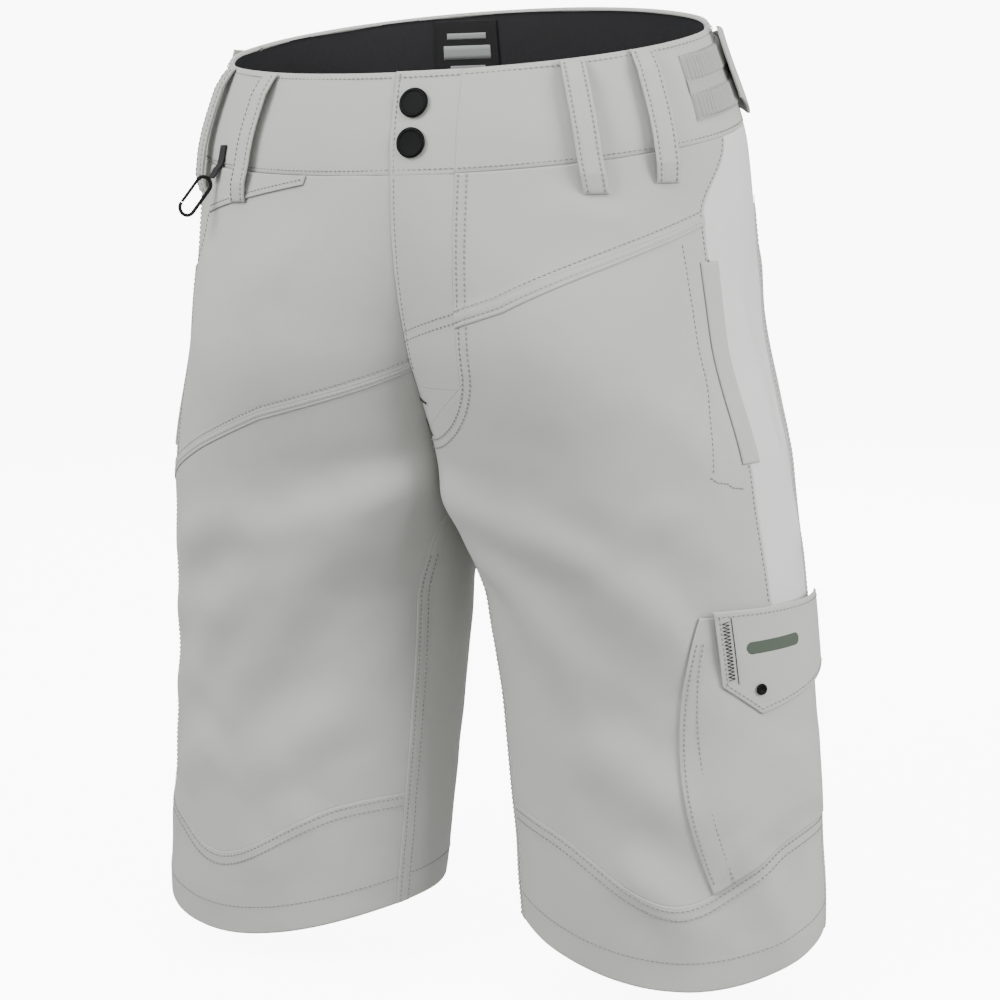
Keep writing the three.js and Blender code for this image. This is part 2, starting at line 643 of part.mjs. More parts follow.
// ---- Key pocket facing, strap and clip on the wearer's right -------------------------------------------------------
panel('key_pocket_facing', -1, {
  from: () => -40, to: () => -75, bottom: (turn) => bandSeam(-79) + 2 - 0.45 * (turn + 80) - 4,
  top: bandSeam, columns: 6, rows: 2, lift: facingLift, thickness: liningCloth,
});
{
  const turn = -44;
  const z = bandSeam(turn) - 2;
  const normal = sideways(-1, turn, z);
  const strapCloth = 1;
  const strapCurl = 4;    // how far the strap's lower end stands off
  const keyStrap = sheet(1, 4, (u, v, inner) => {
    const height = mix(z - 4, z + 16, v);
    const under = v < 0.4 ? facingLift : 0;    // its upper half lies on the band itself
    const lift = under + seatGap + (inner ? 0 : strapCloth) + strapCurl * (1 - v) ** 3;
    return skin(-1, turn + (u - 0.5) * 3, height, lift);
  });
  add('key_strap', keyStrap, finishes.lining);

  // The clip hangs outwards and down from the strap's end, in the plane of normal and upright.
  const lean = radians(40);
  const along = normal.clone().multiplyScalar(Math.sin(lean)).addScaledVector(upright, -Math.cos(lean));
  const acrossClip = normal.clone().multiplyScalar(Math.cos(lean)).addScaledVector(upright, Math.sin(lean));
  const strapEnd = facingLift + seatGap + strapCloth + strapCurl;
  const top = skin(-1, turn, z - 4, strapEnd + clipWire / 2 + seatGap).setZ(z - 4 - seatGap);
  const at = (length, width) => top.clone().addScaledVector(along, length).addScaledVector(acrossClip, width);
  const radius = clipWidth / 2 - clipWire / 2;
  const span = clipLength - clipWidth;
  const section = new THREE.Shape();
  section.absarc(0, 0, clipWire / 2, 0, 2 * Math.PI);
  const wire = (points, steps) => new THREE.ExtrudeGeometry(section, {
    steps, curveSegments: 4, bevelEnabled: false, extrudePath: new THREE.CatmullRomCurve3(points),
  });
  const arc = (centre, from, to) => Array.from({ length: 7 }, (_, i) => {
    const angle = radians(mix(from, to, i / 6));
    return at(centre + radius * Math.cos(angle), radius * Math.sin(angle));
  });
  const hook = [...arc(radius, 90, 270), ...arc(radius + span, 270, 450)];
  add('key_clip_hook', wire(hook, 30), finishes.clip);
  const gate = [at(radius + seatGap, radius), at(radius + span - 2 * seatGap, radius)];
  add('key_clip_gate', wire(gate, 1), finishes.clip);
}

// ---- Cargo pocket on the wearer's left leg ---------------------------------------------------------------------------
const flapZ = crotchZ - cargoTop;
const flapFront = -50;
{
  const bodyLift = 1.2 * drapeGap + cloth;
  panel('cargo_pocket', 1, {
    from: () => outseam - 3, to: (z) => -53 - 14 * Math.sin(Math.PI * clamp01((flapZ - z) / 190)) ** 0.8,
    bottom: (turn) => kneeSeam(turn) + 5, top: () => flapZ - 4, columns: 9, rows: 6,
    lift: bodyLift,
  });
  const flapLift = bodyLift + cloth + 2.6;
  const flapPointTurn = -36;
  const flapBottom = (turn) => {
    const share = turn < flapPointTurn
      ? (turn - flapFront) / (flapPointTurn - flapFront)
      : (outseam + 4 - turn) / (outseam + 4 - flapPointTurn);
    return flapZ - flapLength - flapPoint * clamp01(share);
  };
  panel('cargo_flap', 1, {
    from: () => outseam + 4, to: () => flapFront, bottom: flapBottom, top: () => flapZ, columns: 9, rows: 3,
    lift: flapLift,
  });
  const snapZ = flapZ - flapLength - 3;
  const normal = outward(1, flapPointTurn, snapZ);
  const radius = flapSnapDiameter / 2;
  const cap = [[0, 0], [radius, 0], [radius, 0.8], [radius * 0.7, 1.4], [0, 1.4]];
  const at = (lift) => skin(1, flapPointTurn, snapZ).addScaledVector(normal, lift);
  turned('flap_snap_cap', at(flapLift + drapeGap * 0.8), normal, cap, finishes.snap);
  const stud = [[0, 0], [radius, 0], [radius, 0.9], [0, 0.9]];
  turned('flap_snap_stud', at(bodyLift + drapeGap * 0.8), normal, stud, finishes.metal);
}

export default shorts;
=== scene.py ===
import math

import bpy
import numpy as np
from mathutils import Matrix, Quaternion, Vector


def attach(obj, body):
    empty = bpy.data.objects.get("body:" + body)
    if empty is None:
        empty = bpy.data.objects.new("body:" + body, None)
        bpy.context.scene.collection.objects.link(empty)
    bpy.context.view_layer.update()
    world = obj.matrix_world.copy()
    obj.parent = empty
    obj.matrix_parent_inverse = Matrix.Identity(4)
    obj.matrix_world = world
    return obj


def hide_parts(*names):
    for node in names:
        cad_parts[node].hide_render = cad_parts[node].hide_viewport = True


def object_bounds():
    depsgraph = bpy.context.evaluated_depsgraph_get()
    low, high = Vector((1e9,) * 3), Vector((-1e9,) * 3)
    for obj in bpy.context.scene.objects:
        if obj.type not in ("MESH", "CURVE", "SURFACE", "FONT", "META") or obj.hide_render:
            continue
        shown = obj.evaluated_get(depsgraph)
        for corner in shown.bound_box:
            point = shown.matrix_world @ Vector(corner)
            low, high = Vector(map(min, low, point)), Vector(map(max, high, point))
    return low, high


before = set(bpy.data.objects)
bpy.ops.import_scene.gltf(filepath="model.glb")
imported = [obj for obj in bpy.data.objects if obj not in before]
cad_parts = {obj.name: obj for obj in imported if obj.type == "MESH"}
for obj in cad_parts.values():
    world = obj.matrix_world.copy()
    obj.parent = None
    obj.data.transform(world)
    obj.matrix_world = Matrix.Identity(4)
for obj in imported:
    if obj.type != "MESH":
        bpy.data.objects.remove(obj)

# Loose riding shorts. The cloth is shaped on the same surface as the frame's panels, with folds
# laid over it, and every seam, stitch row and small fitting is placed on that surface.
# Sizes on the surface are millimetres; meshes are made in metres.

mm = 0.001
startBounds = [list(corner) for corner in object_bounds()]

body = {
    "rise": 265, "inseam": 285, "brimTilt": 0.258, "bandHeight": 60, "hemDip": 26,
    "flyWidth": 41, "flyAboveCrotch": 25, "flyPoint": 32, "outseam": 8, "sidePanelFront": -24,
    "inseamTurn": 150, "seamGap": -0.8, "cloth": 1.2, "drapeGap": 0.8, "liningCloth": 0.8,
}  # a negative seam gap laps the panels over each other, so no light shows through a seam
crotchZ = -body["rise"]
hemZ = crotchZ - body["inseam"]
cloth = body["cloth"]
seamGap = body["seamGap"]
drapeGap = body["drapeGap"]
liningCloth = body["liningCloth"]

# height, half width, middle of a half, reach to the front, reach to the back
levels = np.array([
    [hemZ, 229, 130.5, 75, 73],
    [hemZ + 130, 221, 120, 73, 87],
    [crotchZ, 207, 103.5, 99, 104],
    [crotchZ + 85, 187, 80, 119, 134],
    [-70, 180, 9, 112, 113],
    [-5, 160, 0, 95, 95],
    [40, 147, 0, 84, 84],
], float)


def mix(a, b, t):
    return a + (b - a) * t


def ease(t):
    t = np.clip(t, 0, 1)
    return t * t * (3 - 2 * t)


def sizeAt(z, column):
    heights, values = levels[:, 0], levels[:, column]
    slopes = np.diff(values) / np.diff(heights)
    tangents = np.concatenate([slopes[:1], np.zeros(len(slopes) - 1), slopes[-1:]])
    for i in range(1, len(slopes)):
        below, above = slopes[i - 1], slopes[i]
        tangents[i] = 0 if below * above <= 0 else 2 * below * above / (below + above)
    z = np.clip(z, heights[0], heights[-1])
    low = np.clip(np.searchsorted(heights, z) - 1, 0, len(slopes) - 1)
    span = heights[low + 1] - heights[low]
    t = (z - heights[low]) / span
    return (
        (2 * t ** 3 - 3 * t ** 2 + 1) * values[low] + (t ** 3 - 2 * t ** 2 + t) * span * tangents[low]
        + (3 * t ** 2 - 2 * t ** 3) * values[low + 1] + (t ** 3 - t ** 2) * span * tangents[low + 1]
    )


def sectionAt(z):
    front, back, middle = sizeAt(z, 3), sizeAt(z, 4), sizeAt(z, 2)
    square = np.minimum(ease((-100 - z) / (body["rise"] - 165)), ease((z - crotchZ + 85) / 85))
    return middle, sizeAt(z, 1) - middle, (front + back) / 2, (back - front) / 2, 2 + 3 * square


# side is 1 for the wearer's left; turn is -90 in front, 0 outside, 90 behind, 180 inside the leg.
def skin(side, turn, z, lift=0.0):
    side, turn, z, lift = np.broadcast_arrays(*(np.asarray(a, float) for a in (side, turn, z, lift)))
    middle, across, along, depth, squarer = sectionAt(z)
    c, y = np.cos(np.radians(turn)), np.sin(np.radians(turn))
    power = np.where(c < 0, squarer, 2.0)
    x = np.where(c < 0, -np.sqrt(np.maximum(0, 1 - np.abs(y) ** power)), c)
    nx = 2 * x / across
    ny = power * np.sign(y) * np.abs(y) ** (power - 1) / along
    size = np.hypot(nx, ny)
    return np.stack([
        side * (middle + across * x + nx / size * lift), depth + along * y + ny / size * lift, z,
    ], -1)


def turnAt(x, z):
    middle, across, _, _, power = sectionAt(z)
    share = (x - middle) / across
    inner = 180 - np.degrees(np.arcsin((1 - np.minimum(1, np.maximum(0, -share)) ** 2) ** (1 / power)))
    return np.where(share >= 0, np.degrees(np.arccos(np.clip(share, -1, 1))), inner)


def degreeSize(turn, z):
    return np.linalg.norm(skin(1, turn + 0.5, z) - skin(1, turn - 0.5, z), axis=-1)


def brim(turn):
    _, _, along, depth, _ = sectionAt(np.asarray(0.0))
    return body["brimTilt"] * (depth + along * np.sin(np.radians(turn)))


def bandSeam(turn):
    return brim(turn) - body["bandHeight"]


def hem(turn):
    return hemZ - body["hemDip"] * (0.5 + 0.5 * np.cos(np.radians(turn + 73))) ** 3.4


def kneeSeam(turn):
    return hemZ + 70 - 42 * np.exp(-(((turn + 72) / 35) ** 2))


def frontSeam(side):
    if side > 0:
        return lambda turn: bandSeam(-24) - 46 + 0.72 * (turn + 24)
    return lambda turn: crotchZ + 13 - 0.78 * (turn + 62)


def backSeam(turn):
    return bandSeam(body["outseam"]) - 50 - 0.9 * (np.minimum(turn, 130) - body["outseam"])


def sideSeam(z):
    return body["sidePanelFront"] + 12 * ease((z - bandSeam(-24) + 42) / 46)


gussetTop = crotchZ + 30
gussetLow = crotchZ - 12


def innerEdge(z):
    z = np.asarray(z, float)
    share = np.clip((z - gussetLow) / (gussetTop - gussetLow), 0, 1)
    seamZ = np.where(z > gussetTop, z, mix(crotchZ, gussetTop, share))
    sweep = mix(body["inseamTurn"], 180, (1 - np.clip((gussetLow - z) / 45, 0, 1)) ** 3)
    return np.where(z > gussetLow, turnAt(seamGap / 2, seamZ), sweep)


def frontInner(z):
    return -innerEdge(z)


def backInner(z):
    return np.where(np.asarray(z) > gussetLow, innerEdge(z), 360 - innerEdge(z))


flyBottom = crotchZ + body["flyAboveCrotch"]
hairline = 0.03


def flyReach(z):
    return body["flyWidth"] * np.clip((z - flyBottom) / body["flyPoint"], 0, 1)


def flyInner(z):
    beside = -turnAt(flyReach(z) - seamGap / 2 + hairline, z)
    return np.where(np.asarray(z) > flyBottom, beside, frontInner(z))


# How the cloth hangs: heights of its waves, how strong the folds are, and the puckers along the band.
hang = {
    "broad": 1.5, "fine": 0.38, "folds": 1.3, "degree": 1.85, "bow": 0.05, "pucker": 0.5, "puckerPitch": 23,
}

# Each fold: side, where it starts and ends as turn and height, its width and its height.
folds = [
    (-1, -150, -266, -80, -312, 22, 4.6), (-1, -138, -288, -56, -384, 28, 5.2),
    (-1, -96, -292, -34, -326, 24, 2.8), (-1, -118, -320, -74, -424, 25, 3.6),
    (-1, -72, -350, -26, -372, 20, 1.8), (-1, -66, -398, -24, -424, 22, 1.8),
    (-1, -76, -446, -34, -480, 24, 2.4), (-1, -52, -492, -22, -516, 20, 1.4),
    (-1, -128, -412, -84, -476, 27, 3.2), (-1, -36, -120, -58, -215, 28, 2.4),
    (-1, -98, -100, -64, -158, 30, 2.2), (-1, -112, -478, -88, -540, 28, 2.6),
    (1, -150, -274, -80, -322, 22, 3.8), (1, -140, -296, -98, -400, 27, 3.8),
    (1, -84, -318, -52, -380, 28, 2.8), (1, -64, -270, -40, -330, 26, 2.0),
    (1, -108, -424, -58, -478, 27, 3.0), (1, -96, -492, -62, -544, 24, 2.8),
    (1, -48, -476, -28, -548, 20, 2.4), (1, -52, -200, -36, -300, 24, 2.0),
    (1, -16, -150, -6, -250, 17, 2.6), (1, -10, -232, 2, -330, 16, 2.4),
    (1, -66, -96, -42, -112, 18, 1.4),
    *((side, 112, -252, 66, -330, 18, 4.0) for side in (1, -1)),
    *((side, 130, -270, 96, -380, 18, 3.2) for side in (1, -1)),
    (1, 30, -300, 74, -340, 17, 2.6), (-1, 24, -318, 70, -352, 17, 2.6),
    (1, 40, -430, 92, -462, 18, 2.8), (-1, 36, -418, 96, -446, 18, 2.8),
    (1, 20, -120, 52, -210, 22, 2.2), (-1, 20, -128, 50, -216, 22, 2.2),
    *((side, 88, -196, 118, -262, 16, 2.6) for side in (1, -1)),
]

seeded = np.random.default_rng(7)


def waves(count, shortest, longest):
    direction = seeded.normal(size=(count, 3))
    direction /= np.linalg.norm(direction, axis=1)[:, None]
    length = np.exp(seeded.uniform(math.log(shortest), math.log(longest), count))
    return 2 * math.pi * direction / length[:, None], seeded.uniform(0, 2 * math.pi, count), length


broadWaves = waves(18, 70, 240)
fineWaves = waves(26, 24, 60)


def ripple(points, kind):
    vectors, phase, length = kind
    total = np.zeros(points.shape[:-1])
    for k, shift, size in zip(vectors, phase, length):
        total += np.sin(points @ k + shift) * (size / length.max())
    return total / math.sqrt(len(phase))


def seamPucker(distance, run, reach, pitch):
    return np.exp(-(distance / reach) ** 2) * np.sin(2 * math.pi * run / pitch)


# How far the cloth stands off its plain shape. It stays flat under the band and the fittings.
def drape(side, turn, z):
    plain = skin(side, turn, z)
    total = hang["broad"] * ripple(plain, broadWaves)
    wrapped = (turn + 180) % 360 - 180
    for foldSide, turnA, zA, turnB, zB, width, height in folds:
        run = np.array([(turnB - turnA) * hang["degree"], zB - zA])
        length = np.hypot(*run)
        run = run / length
        s, t = (wrapped - turnA) * hang["degree"], z - zA
        along = (s * run[0] + t * run[1]) / length
        bend = hang["bow"] * length * np.sin(math.pi * np.clip(along, 0, 1))
        off = (s * -run[1] + t * run[0] - bend) / width
        fade = ease(along / 0.35 + 0.15) * ease((1.15 - along) / 0.5)
        ridge = (1 - 1.1 * (off + 0.25) ** 2) * np.exp(-off ** 2)
        total += np.where(side == foldSide, hang["folds"] * height * fade * ridge, 0)
    total += hang["fine"] * ripple(plain, fineWaves) * ease((bandSeam(wrapped) - z) / 60)
    below = bandSeam(wrapped) - z
    total += hang["pucker"] * seamPucker(below - 6, wrapped * 1.9, 14, hang["puckerPitch"]) * ease(below / 6)
    x = np.abs(plain[..., 0])
    inFront = (wrapped < -60) & (wrapped > -179)
    calm = ease(below / 45)
    calm *= 1 - (1 - ease((x - 40) / 34)) * inFront * ease((z + 262) / 30)
    onSide = (side > 0) | (z > -330)
    nearZip = 1 - ease((np.abs(wrapped - sideSeam(z)) - 6) / 9)
    calm *= 1 - 0.92 * nearZip * onSide * ease((z + 282) / 22)
    nearFlap = (1 - ease((np.abs(wrapped + 22) - 30) / 12)) * (1 - ease((np.abs(z + 372) - 40) / 24))
    calm *= 1 - 0.85 * nearFlap * (side > 0)
    return total * calm


def onCloth(side, turn, z, lift=0.0):
    return skin(side, turn, z, lift + drape(side, np.asarray(turn, float), np.asarray(z, float)))


# A shader value that can be added and multiplied.
class Sock:
    def __init__(self, tree, socket):
        self.tree, self.socket = tree, socket

    def math(self, operation, *others):
        node = self.tree.nodes.new("ShaderNodeMath")
        node.operation = operation
        for slot, value in zip(node.inputs, (self, *others)):
            if isinstance(value, Sock):
                self.tree.links.new(value.socket, slot)
            else:
                slot.default_value = value
        return Sock(self.tree, node.outputs[0])

    def __add__(self, other):
        return self.math("ADD", other)

    def __mul__(self, other):
        return self.math("MULTIPLY", other)

    def sine(self):
        return self.math("SINE")


# One material with its own small node tree.
class Look:
    def __init__(self, name, color, roughness, **constants):
        self.material = bpy.data.materials.new(name)
        self.material.use_nodes = True
        self.tree = self.material.node_tree
        self.shader = self.tree.nodes["Principled BSDF"]
        self.shader.inputs["Base Color"].default_value = (*color, 1)
        self.shader.inputs["Roughness"].default_value = roughness
        for label, value in constants.items():
            self.shader.inputs[label.replace("_", " ")].default_value = value

    def node(self, kind, inputs=None, output=0, **settings):
        made = self.tree.nodes.new(kind)
        for key, value in settings.items():
            setattr(made, key, value)
        for key, value in (inputs or {}).items():
            if isinstance(value, Sock):
                self.tree.links.new(value.socket, made.inputs[key])
            else:
                made.inputs[key].default_value = value
        return Sock(self.tree, made.outputs[output])

    def chart(self):
        return self.node("ShaderNodeUVMap", uv_map="chart")

    def noise(self, scale, detail):
        where = self.node("ShaderNodeTexCoord", output="Object")
        return self.node("ShaderNodeTexNoise", {"Vector": where, "Scale": scale, "Detail": detail}, "Fac")

    def axis(self, vector, name):
        return self.node("ShaderNodeSeparateXYZ", {0: vector}, name)

    def blend(self, share, first, second):
        inputs = {0: share, 6: (*first, 1), 7: (*second, 1)}
        return self.node("ShaderNodeMix", inputs, 2, data_type="RGBA")

    def drive(self, name, value):
        self.tree.links.new(value.socket, self.shader.inputs[name])

    def bump(self, height, distance):
        inputs = {"Height": height, "Distance": distance, "Strength": 1.0}
        self.drive("Normal", self.node("ShaderNodeBump", inputs))


def tint(color, share):
    return tuple(min(1, channel * share) for channel in color)


def woven(name, color, pitch=0.55, depth=0.00006, mottle=0.05, **constants):
    look = Look(name, color, 0.82, **constants)
    chart = look.chart()
    u, v = look.axis(chart, "X"), look.axis(chart, "Y")
    turns = 2 * math.pi * 1000 / pitch
    weave = (u * turns).sine() * (v * turns).sine()
    cloudy = look.noise(26.0, 3.0)
    speck = look.noise(900.0, 1.0)
    share = cloudy * 0.6 + speck * 0.4
    look.drive("Base Color", look.blend(share, tint(color, 1 - mottle), tint(color, 1 + mottle)))
    crease = look.noise(55.0, 4.0)
    look.bump(weave * 0.5 + speck * 0.6 + crease * 9.0, depth)
    return look.material


clothColor = (0.47, 0.475, 0.45)
looks = {
    "cloth": woven("cloth", clothColor, Sheen_Weight=0.12),
    "stretch": woven("stretch", (0.67, 0.68, 0.665), pitch=0.8, Sheen_Weight=0.12),
    "lining": woven("lining", (0.012, 0.012, 0.014), pitch=1.4, mottle=0.2),
    "tape": woven("tape", (0.38, 0.385, 0.365), pitch=1.1, depth=0.0001),
    "label": woven("label", (0.006, 0.006, 0.007), pitch=0.9, mottle=0.2),
    "mesh": woven("mesh", (0.58, 0.58, 0.57), pitch=1.8, depth=0.0003),
    "thread": woven("thread", (0.25, 0.25, 0.24), pitch=0.4),
    "darkThread": woven("darkThread", (0.03, 0.03, 0.03), pitch=0.4),
}
for name, color, rough, metal in (
    ("snap", (0.002, 0.0025, 0.0025), 0.6, 0.0), ("metal", (0.30, 0.31, 0.32), 0.35, 0.9),
    ("clip", (0.012, 0.012, 0.012), 0.38, 0.0), ("print", (0.085, 0.105, 0.082), 0.6, 0.0),
    ("labelPrint", (0.30, 0.31, 0.31), 0.7, 0.0),
):
    looks[name] = Look(name, color, rough, Metallic=metal, Specular_IOR_Level=0.5 if metal else 0.12).material


def makeObject(name, vertices, faces, look, charts=None):
    mesh = bpy.data.meshes.new(name)
    mesh.from_pydata([tuple(p) for p in np.asarray(vertices) * mm], [], [tuple(f) for f in faces])
    mesh.update()
    if charts is not None:
        layer = mesh.uv_layers.new(name="chart")
        corners = np.empty(len(mesh.loops), int)
        mesh.loops.foreach_get("vertex_index", corners)
        layer.data.foreach_set("uv", (np.asarray(charts)[corners] * mm).ravel().astype(np.float32))
    mesh.polygons.foreach_set("use_smooth", [True] * len(mesh.polygons))
    mesh.materials.append(looks[look])
    made = bpy.data.objects.new(name, mesh)
    bpy.context.scene.collection.objects.link(made)
    return made


def finishPiece(made, body, nodes=()):
    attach(made, body)
    if nodes:
        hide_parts(*nodes)
    return made


# Grid lines from 0 to 1 over a length, close together at both ends where the cloth rolls over.
def stations(length, step, edges=(0.5, 1.3, 2.6)):
    count = max(2, round((length - 2 * edges[-1]) / step))
    inner = np.linspace(edges[-1], length - edges[-1], count + 1)
    near = np.array([0.0, *edges[:-1]])
    return np.concatenate([near, inner, length - near[::-1]]) / length


# A closed piece of cloth from a grid of outer points. out points away from the inside, and thickness
# may vary over the grid.
def clothPiece(name, points, look, out, body="shorts", nodes=None, thickness=cloth):
    rows, columns = points.shape[:2]
    facing = 1 if isOutward(points, out) else -1
    down = np.gradient(points, axis=0)
    over = np.gradient(points, axis=1)
    normal = np.cross(over, down)
    normal /= np.maximum(1e-9, np.linalg.norm(normal, axis=-1))[..., None]
    depth = np.asarray(thickness, float)[..., None] if np.ndim(thickness) else thickness
    inner = points - normal * facing * depth
    vertices = np.concatenate([points.reshape(-1, 3), inner.reshape(-1, 3)])
    index = np.arange(rows * columns).reshape(rows, columns)
    far = index + rows * columns
    quads = np.stack([index[:-1, :-1], index[:-1, 1:], index[1:, 1:], index[1:, :-1]], -1).reshape(-1, 4)
    back = np.stack([far[:-1, :-1], far[1:, :-1], far[1:, 1:], far[:-1, 1:]], -1).reshape(-1, 4)
    ring = np.concatenate([index[0, :-1], index[:-1, -1], index[-1, :0:-1], index[:0:-1, 0]])
    nextOne = np.roll(ring, -1)
    shift = rows * columns
    rim = np.stack([ring, ring + shift, nextOne + shift, nextOne], -1)
    faces = np.concatenate([quads, back, rim])
    if facing < 0:
        faces = faces[:, ::-1]
    lengths = np.linalg.norm(np.diff(points, axis=1), axis=-1)
    run = np.concatenate([np.zeros((rows, 1)), np.cumsum(lengths, 1)], 1)
    chart = np.stack([run, points[..., 2]], -1)
    made = makeObject(name, vertices, faces, look, np.concatenate([chart.reshape(-1, 2)] * 2))
    return finishPiece(made, body, (name,) if nodes is None else nodes)


# Whether the grid's normal points away from the body's inside at its middle.
def isOutward(points, out):
    r, c = points.shape[0] // 2, points.shape[1] // 2
    over = points[r, min(c + 1, points.shape[1] - 1)] - points[r, c - 1]
    down = points[min(r + 1, points.shape[0] - 1), c] - points[r - 1, c]
    return np.dot(np.cross(over, down), np.broadcast_to(out, points.shape)[r, c]) > 0


def outwardAt(side, turn, z):
    return onCloth(side, turn, z, 1.0) - onCloth(side, turn, z, 0.0)


# Turn and height over a patch whose edges are seam lines, half a gap inside them.
def patchGrid(patch, u, v):
    gap = patch.get("gap", seamGap)
    row = np.asarray(v, float)

    def heightAt(turn, share):
        low, high = patch["bottom"](turn) + gap / 2, patch["top"](turn) - gap / 2
        level = patch.get("level", high)
        return mix(low, level, share) + (high - level) * share ** patch.get("settle", 4)

    # where each row meets an edge, found by halving
    def meet(edge, low, high):
        below, above = 0 * row + low, 0 * row + high
        for _ in range(34):
            middle = (below + above) / 2
            short = middle < edge(heightAt(middle, row))
            below, above = np.where(short, middle, below), np.where(short, above, middle)
        return below

    near = float(patch["from"](heightAt(0.0, 0.5)))
    start = meet(patch["from"], near - 40, near + 40)
    forwards = float(patch["to"](heightAt(near, 0.5))) > near
    end = meet(patch["to"], start, 215.0) if forwards else meet(patch["to"], -215.0, start)
    trim = (1 if forwards else -1) * gap / 2
    start = start + trim / degreeSize(start, heightAt(start, row))
    end = end - trim / degreeSize(end, heightAt(end, row))
    # only the cloth next to a cornered seam follows its corners
    calm = end
    if len(end) > 40:
        reach = len(end) // 7
        weight = np.hanning(2 * reach + 3)[1:-1]
        calm = np.convolve(np.pad(end, reach, mode="edge"), weight / weight.sum(), "valid")
    share = np.asarray(u)[None, :]
    turn = mix(start[:, None], calm[:, None], share) + (end - calm)[:, None] * share ** 7
    return turn, heightAt(turn, row[:, None])


def constant(value):
    return lambda z: value + 0 * np.asarray(z, float)


step = 2.2  # how fine the cloth's grid is


# A panel's edge: how deep and how far in it rolls over, and a welt's width and its two stitched grooves.
edging = {"roll": 0.5, "rollReach": 0.7, "weltWidth": 9.4, "weltSlope": 2.4, "rows": (2.6, 8.2)}
seamLines = (0.5, 1.2, 1.9, 2.6, 3.3, 4.6, 7.2, 8.2, 9.2, 10.6, 12.4)  # grid lines close to an edge


# A panel with rolled edges. welts gives how far an edge lies raised over the next panel.
def panel(name, side, patch, look, body="shorts", lift=0.0, thickness=cloth, welts=None, extra=None):
    turn, z = patchGrid(patch, np.linspace(0, 1, 5), np.linspace(0, 1, 5))
    rough = skin(side, turn, z)
    wide = np.linalg.norm(np.diff(rough, axis=1), axis=-1).sum(1).max()
    tall = np.linalg.norm(np.diff(rough, axis=0), axis=-1).sum(0).max()
    u, v = stations(wide, step, seamLines), stations(tall, step, seamLines)
    turn, z = patchGrid(patch, u, v)
    across, upward = np.meshgrid(u * wide, v * tall)
    edges = {"from": across, "to": wide - across, "bottom": upward, "top": tall - upward}
    raised = np.zeros_like(z)
    for edge, distance in edges.items():
        closed = (edge == "to") & (side > 0) & (z > flyBottom) & (turn < -60)
        raised -= np.where(closed, 0, edging["roll"]) * np.exp(-((distance / edging["rollReach"]) ** 2))
        if welts and edge in welts:
            raised += welts[edge] * (1 - ease((distance - edging["weltWidth"]) / edging["weltSlope"]))
            for at, reach in zip(edging["rows"], (0.8, 0.9)):
                raised -= 0.55 * welts[edge] * np.exp(-(((distance - at) / reach) ** 2))
    if extra:
        raised += extra(turn, z, edges)
    points = onCloth(side, turn, z, lift + raised)
    return clothPiece(name, points, look, outwardAt(side, turn, z), body, thickness=thickness)


# Stitches along every seam, and the close dark ones of the bar tacks.
stitchSizes = {
    "thread": {"Pitch": 3.1, "Length": 2.2, "Width": 0.4},
    "darkThread": {"Pitch": 0.8, "Length": 1.4, "Width": 0.3},
}
stitchLines = {}


def keepRow(bodyName, kind, points, out):
    stitchLines.setdefault((bodyName, kind), []).append((points, out))


def stitch(bodyName, side, turn, z, lift, kind="thread"):
    turn, z = np.asarray(turn, float), np.asarray(z, float)
    keepRow(bodyName, kind, onCloth(side, turn, z, lift), outwardAt(side, turn, z))


def stitchNodes():
    tree = bpy.data.node_groups.new("stitches", "GeometryNodeTree")
    face = tree.interface
    face.new_socket("Geometry", in_out="INPUT", socket_type="NodeSocketGeometry")
    face.new_socket("Material", in_out="INPUT", socket_type="NodeSocketMaterial")
    for name in ("Pitch", "Length", "Width"):
        face.new_socket(name, in_out="INPUT", socket_type="NodeSocketFloat")
    face.new_socket("Geometry", in_out="OUTPUT", socket_type="NodeSocketGeometry")
    new = tree.nodes.new
    given, result = new("NodeGroupInput"), new("NodeGroupOutput")
    toCurve, resample = new("GeometryNodeMeshToCurve"), new("GeometryNodeResampleCurve")
    resample.mode = "LENGTH"
    tangent = new("GeometryNodeInputTangent")
    outward = new("GeometryNodeInputNamedAttribute")
    outward.data_type = "FLOAT_VECTOR"
    outward.inputs["Name"].default_value = "outward"
    alongX, upZ = new("FunctionNodeAlignEulerToVector"), new("FunctionNodeAlignEulerToVector")
    alongX.axis, upZ.axis, upZ.pivot_axis = "X", "Z", "X"
    grain = new("GeometryNodeMeshUVSphere")
    grain.inputs["Segments"].default_value = 6
    grain.inputs["Rings"].default_value = 4
    grain.inputs["Radius"].default_value = 1.0
    shape, spread = new("ShaderNodeCombineXYZ"), new("GeometryNodeInstanceOnPoints")
    half = new("ShaderNodeMath")
    half.operation = "MULTIPLY"
    half.inputs[1].default_value = 0.5
    realize, paint = new("GeometryNodeRealizeInstances"), new("GeometryNodeSetMaterial")
    for source, out, target, into in (
        (given, "Geometry", toCurve, "Mesh"), (toCurve, "Curve", resample, "Curve"),
        (given, "Pitch", resample, "Length"), (tangent, 0, alongX, "Vector"), (alongX, 0, upZ, "Rotation"),
        (outward, 0, upZ, "Vector"), (resample, "Curve", spread, "Points"),
        (grain, "Mesh", spread, "Instance"), (upZ, 0, spread, "Rotation"),
        (given, "Length", half, 0), (half, 0, shape, "X"),
        (given, "Width", shape, "Y"), (given, "Width", shape, "Z"), (shape, 0, spread, "Scale"),
        (spread, 0, realize, 0), (realize, 0, paint, "Geometry"), (given, "Material", paint, "Material"),
        (paint, 0, result, 0),
    ):
        tree.links.new(source.outputs[out], target.inputs[into])
    return tree


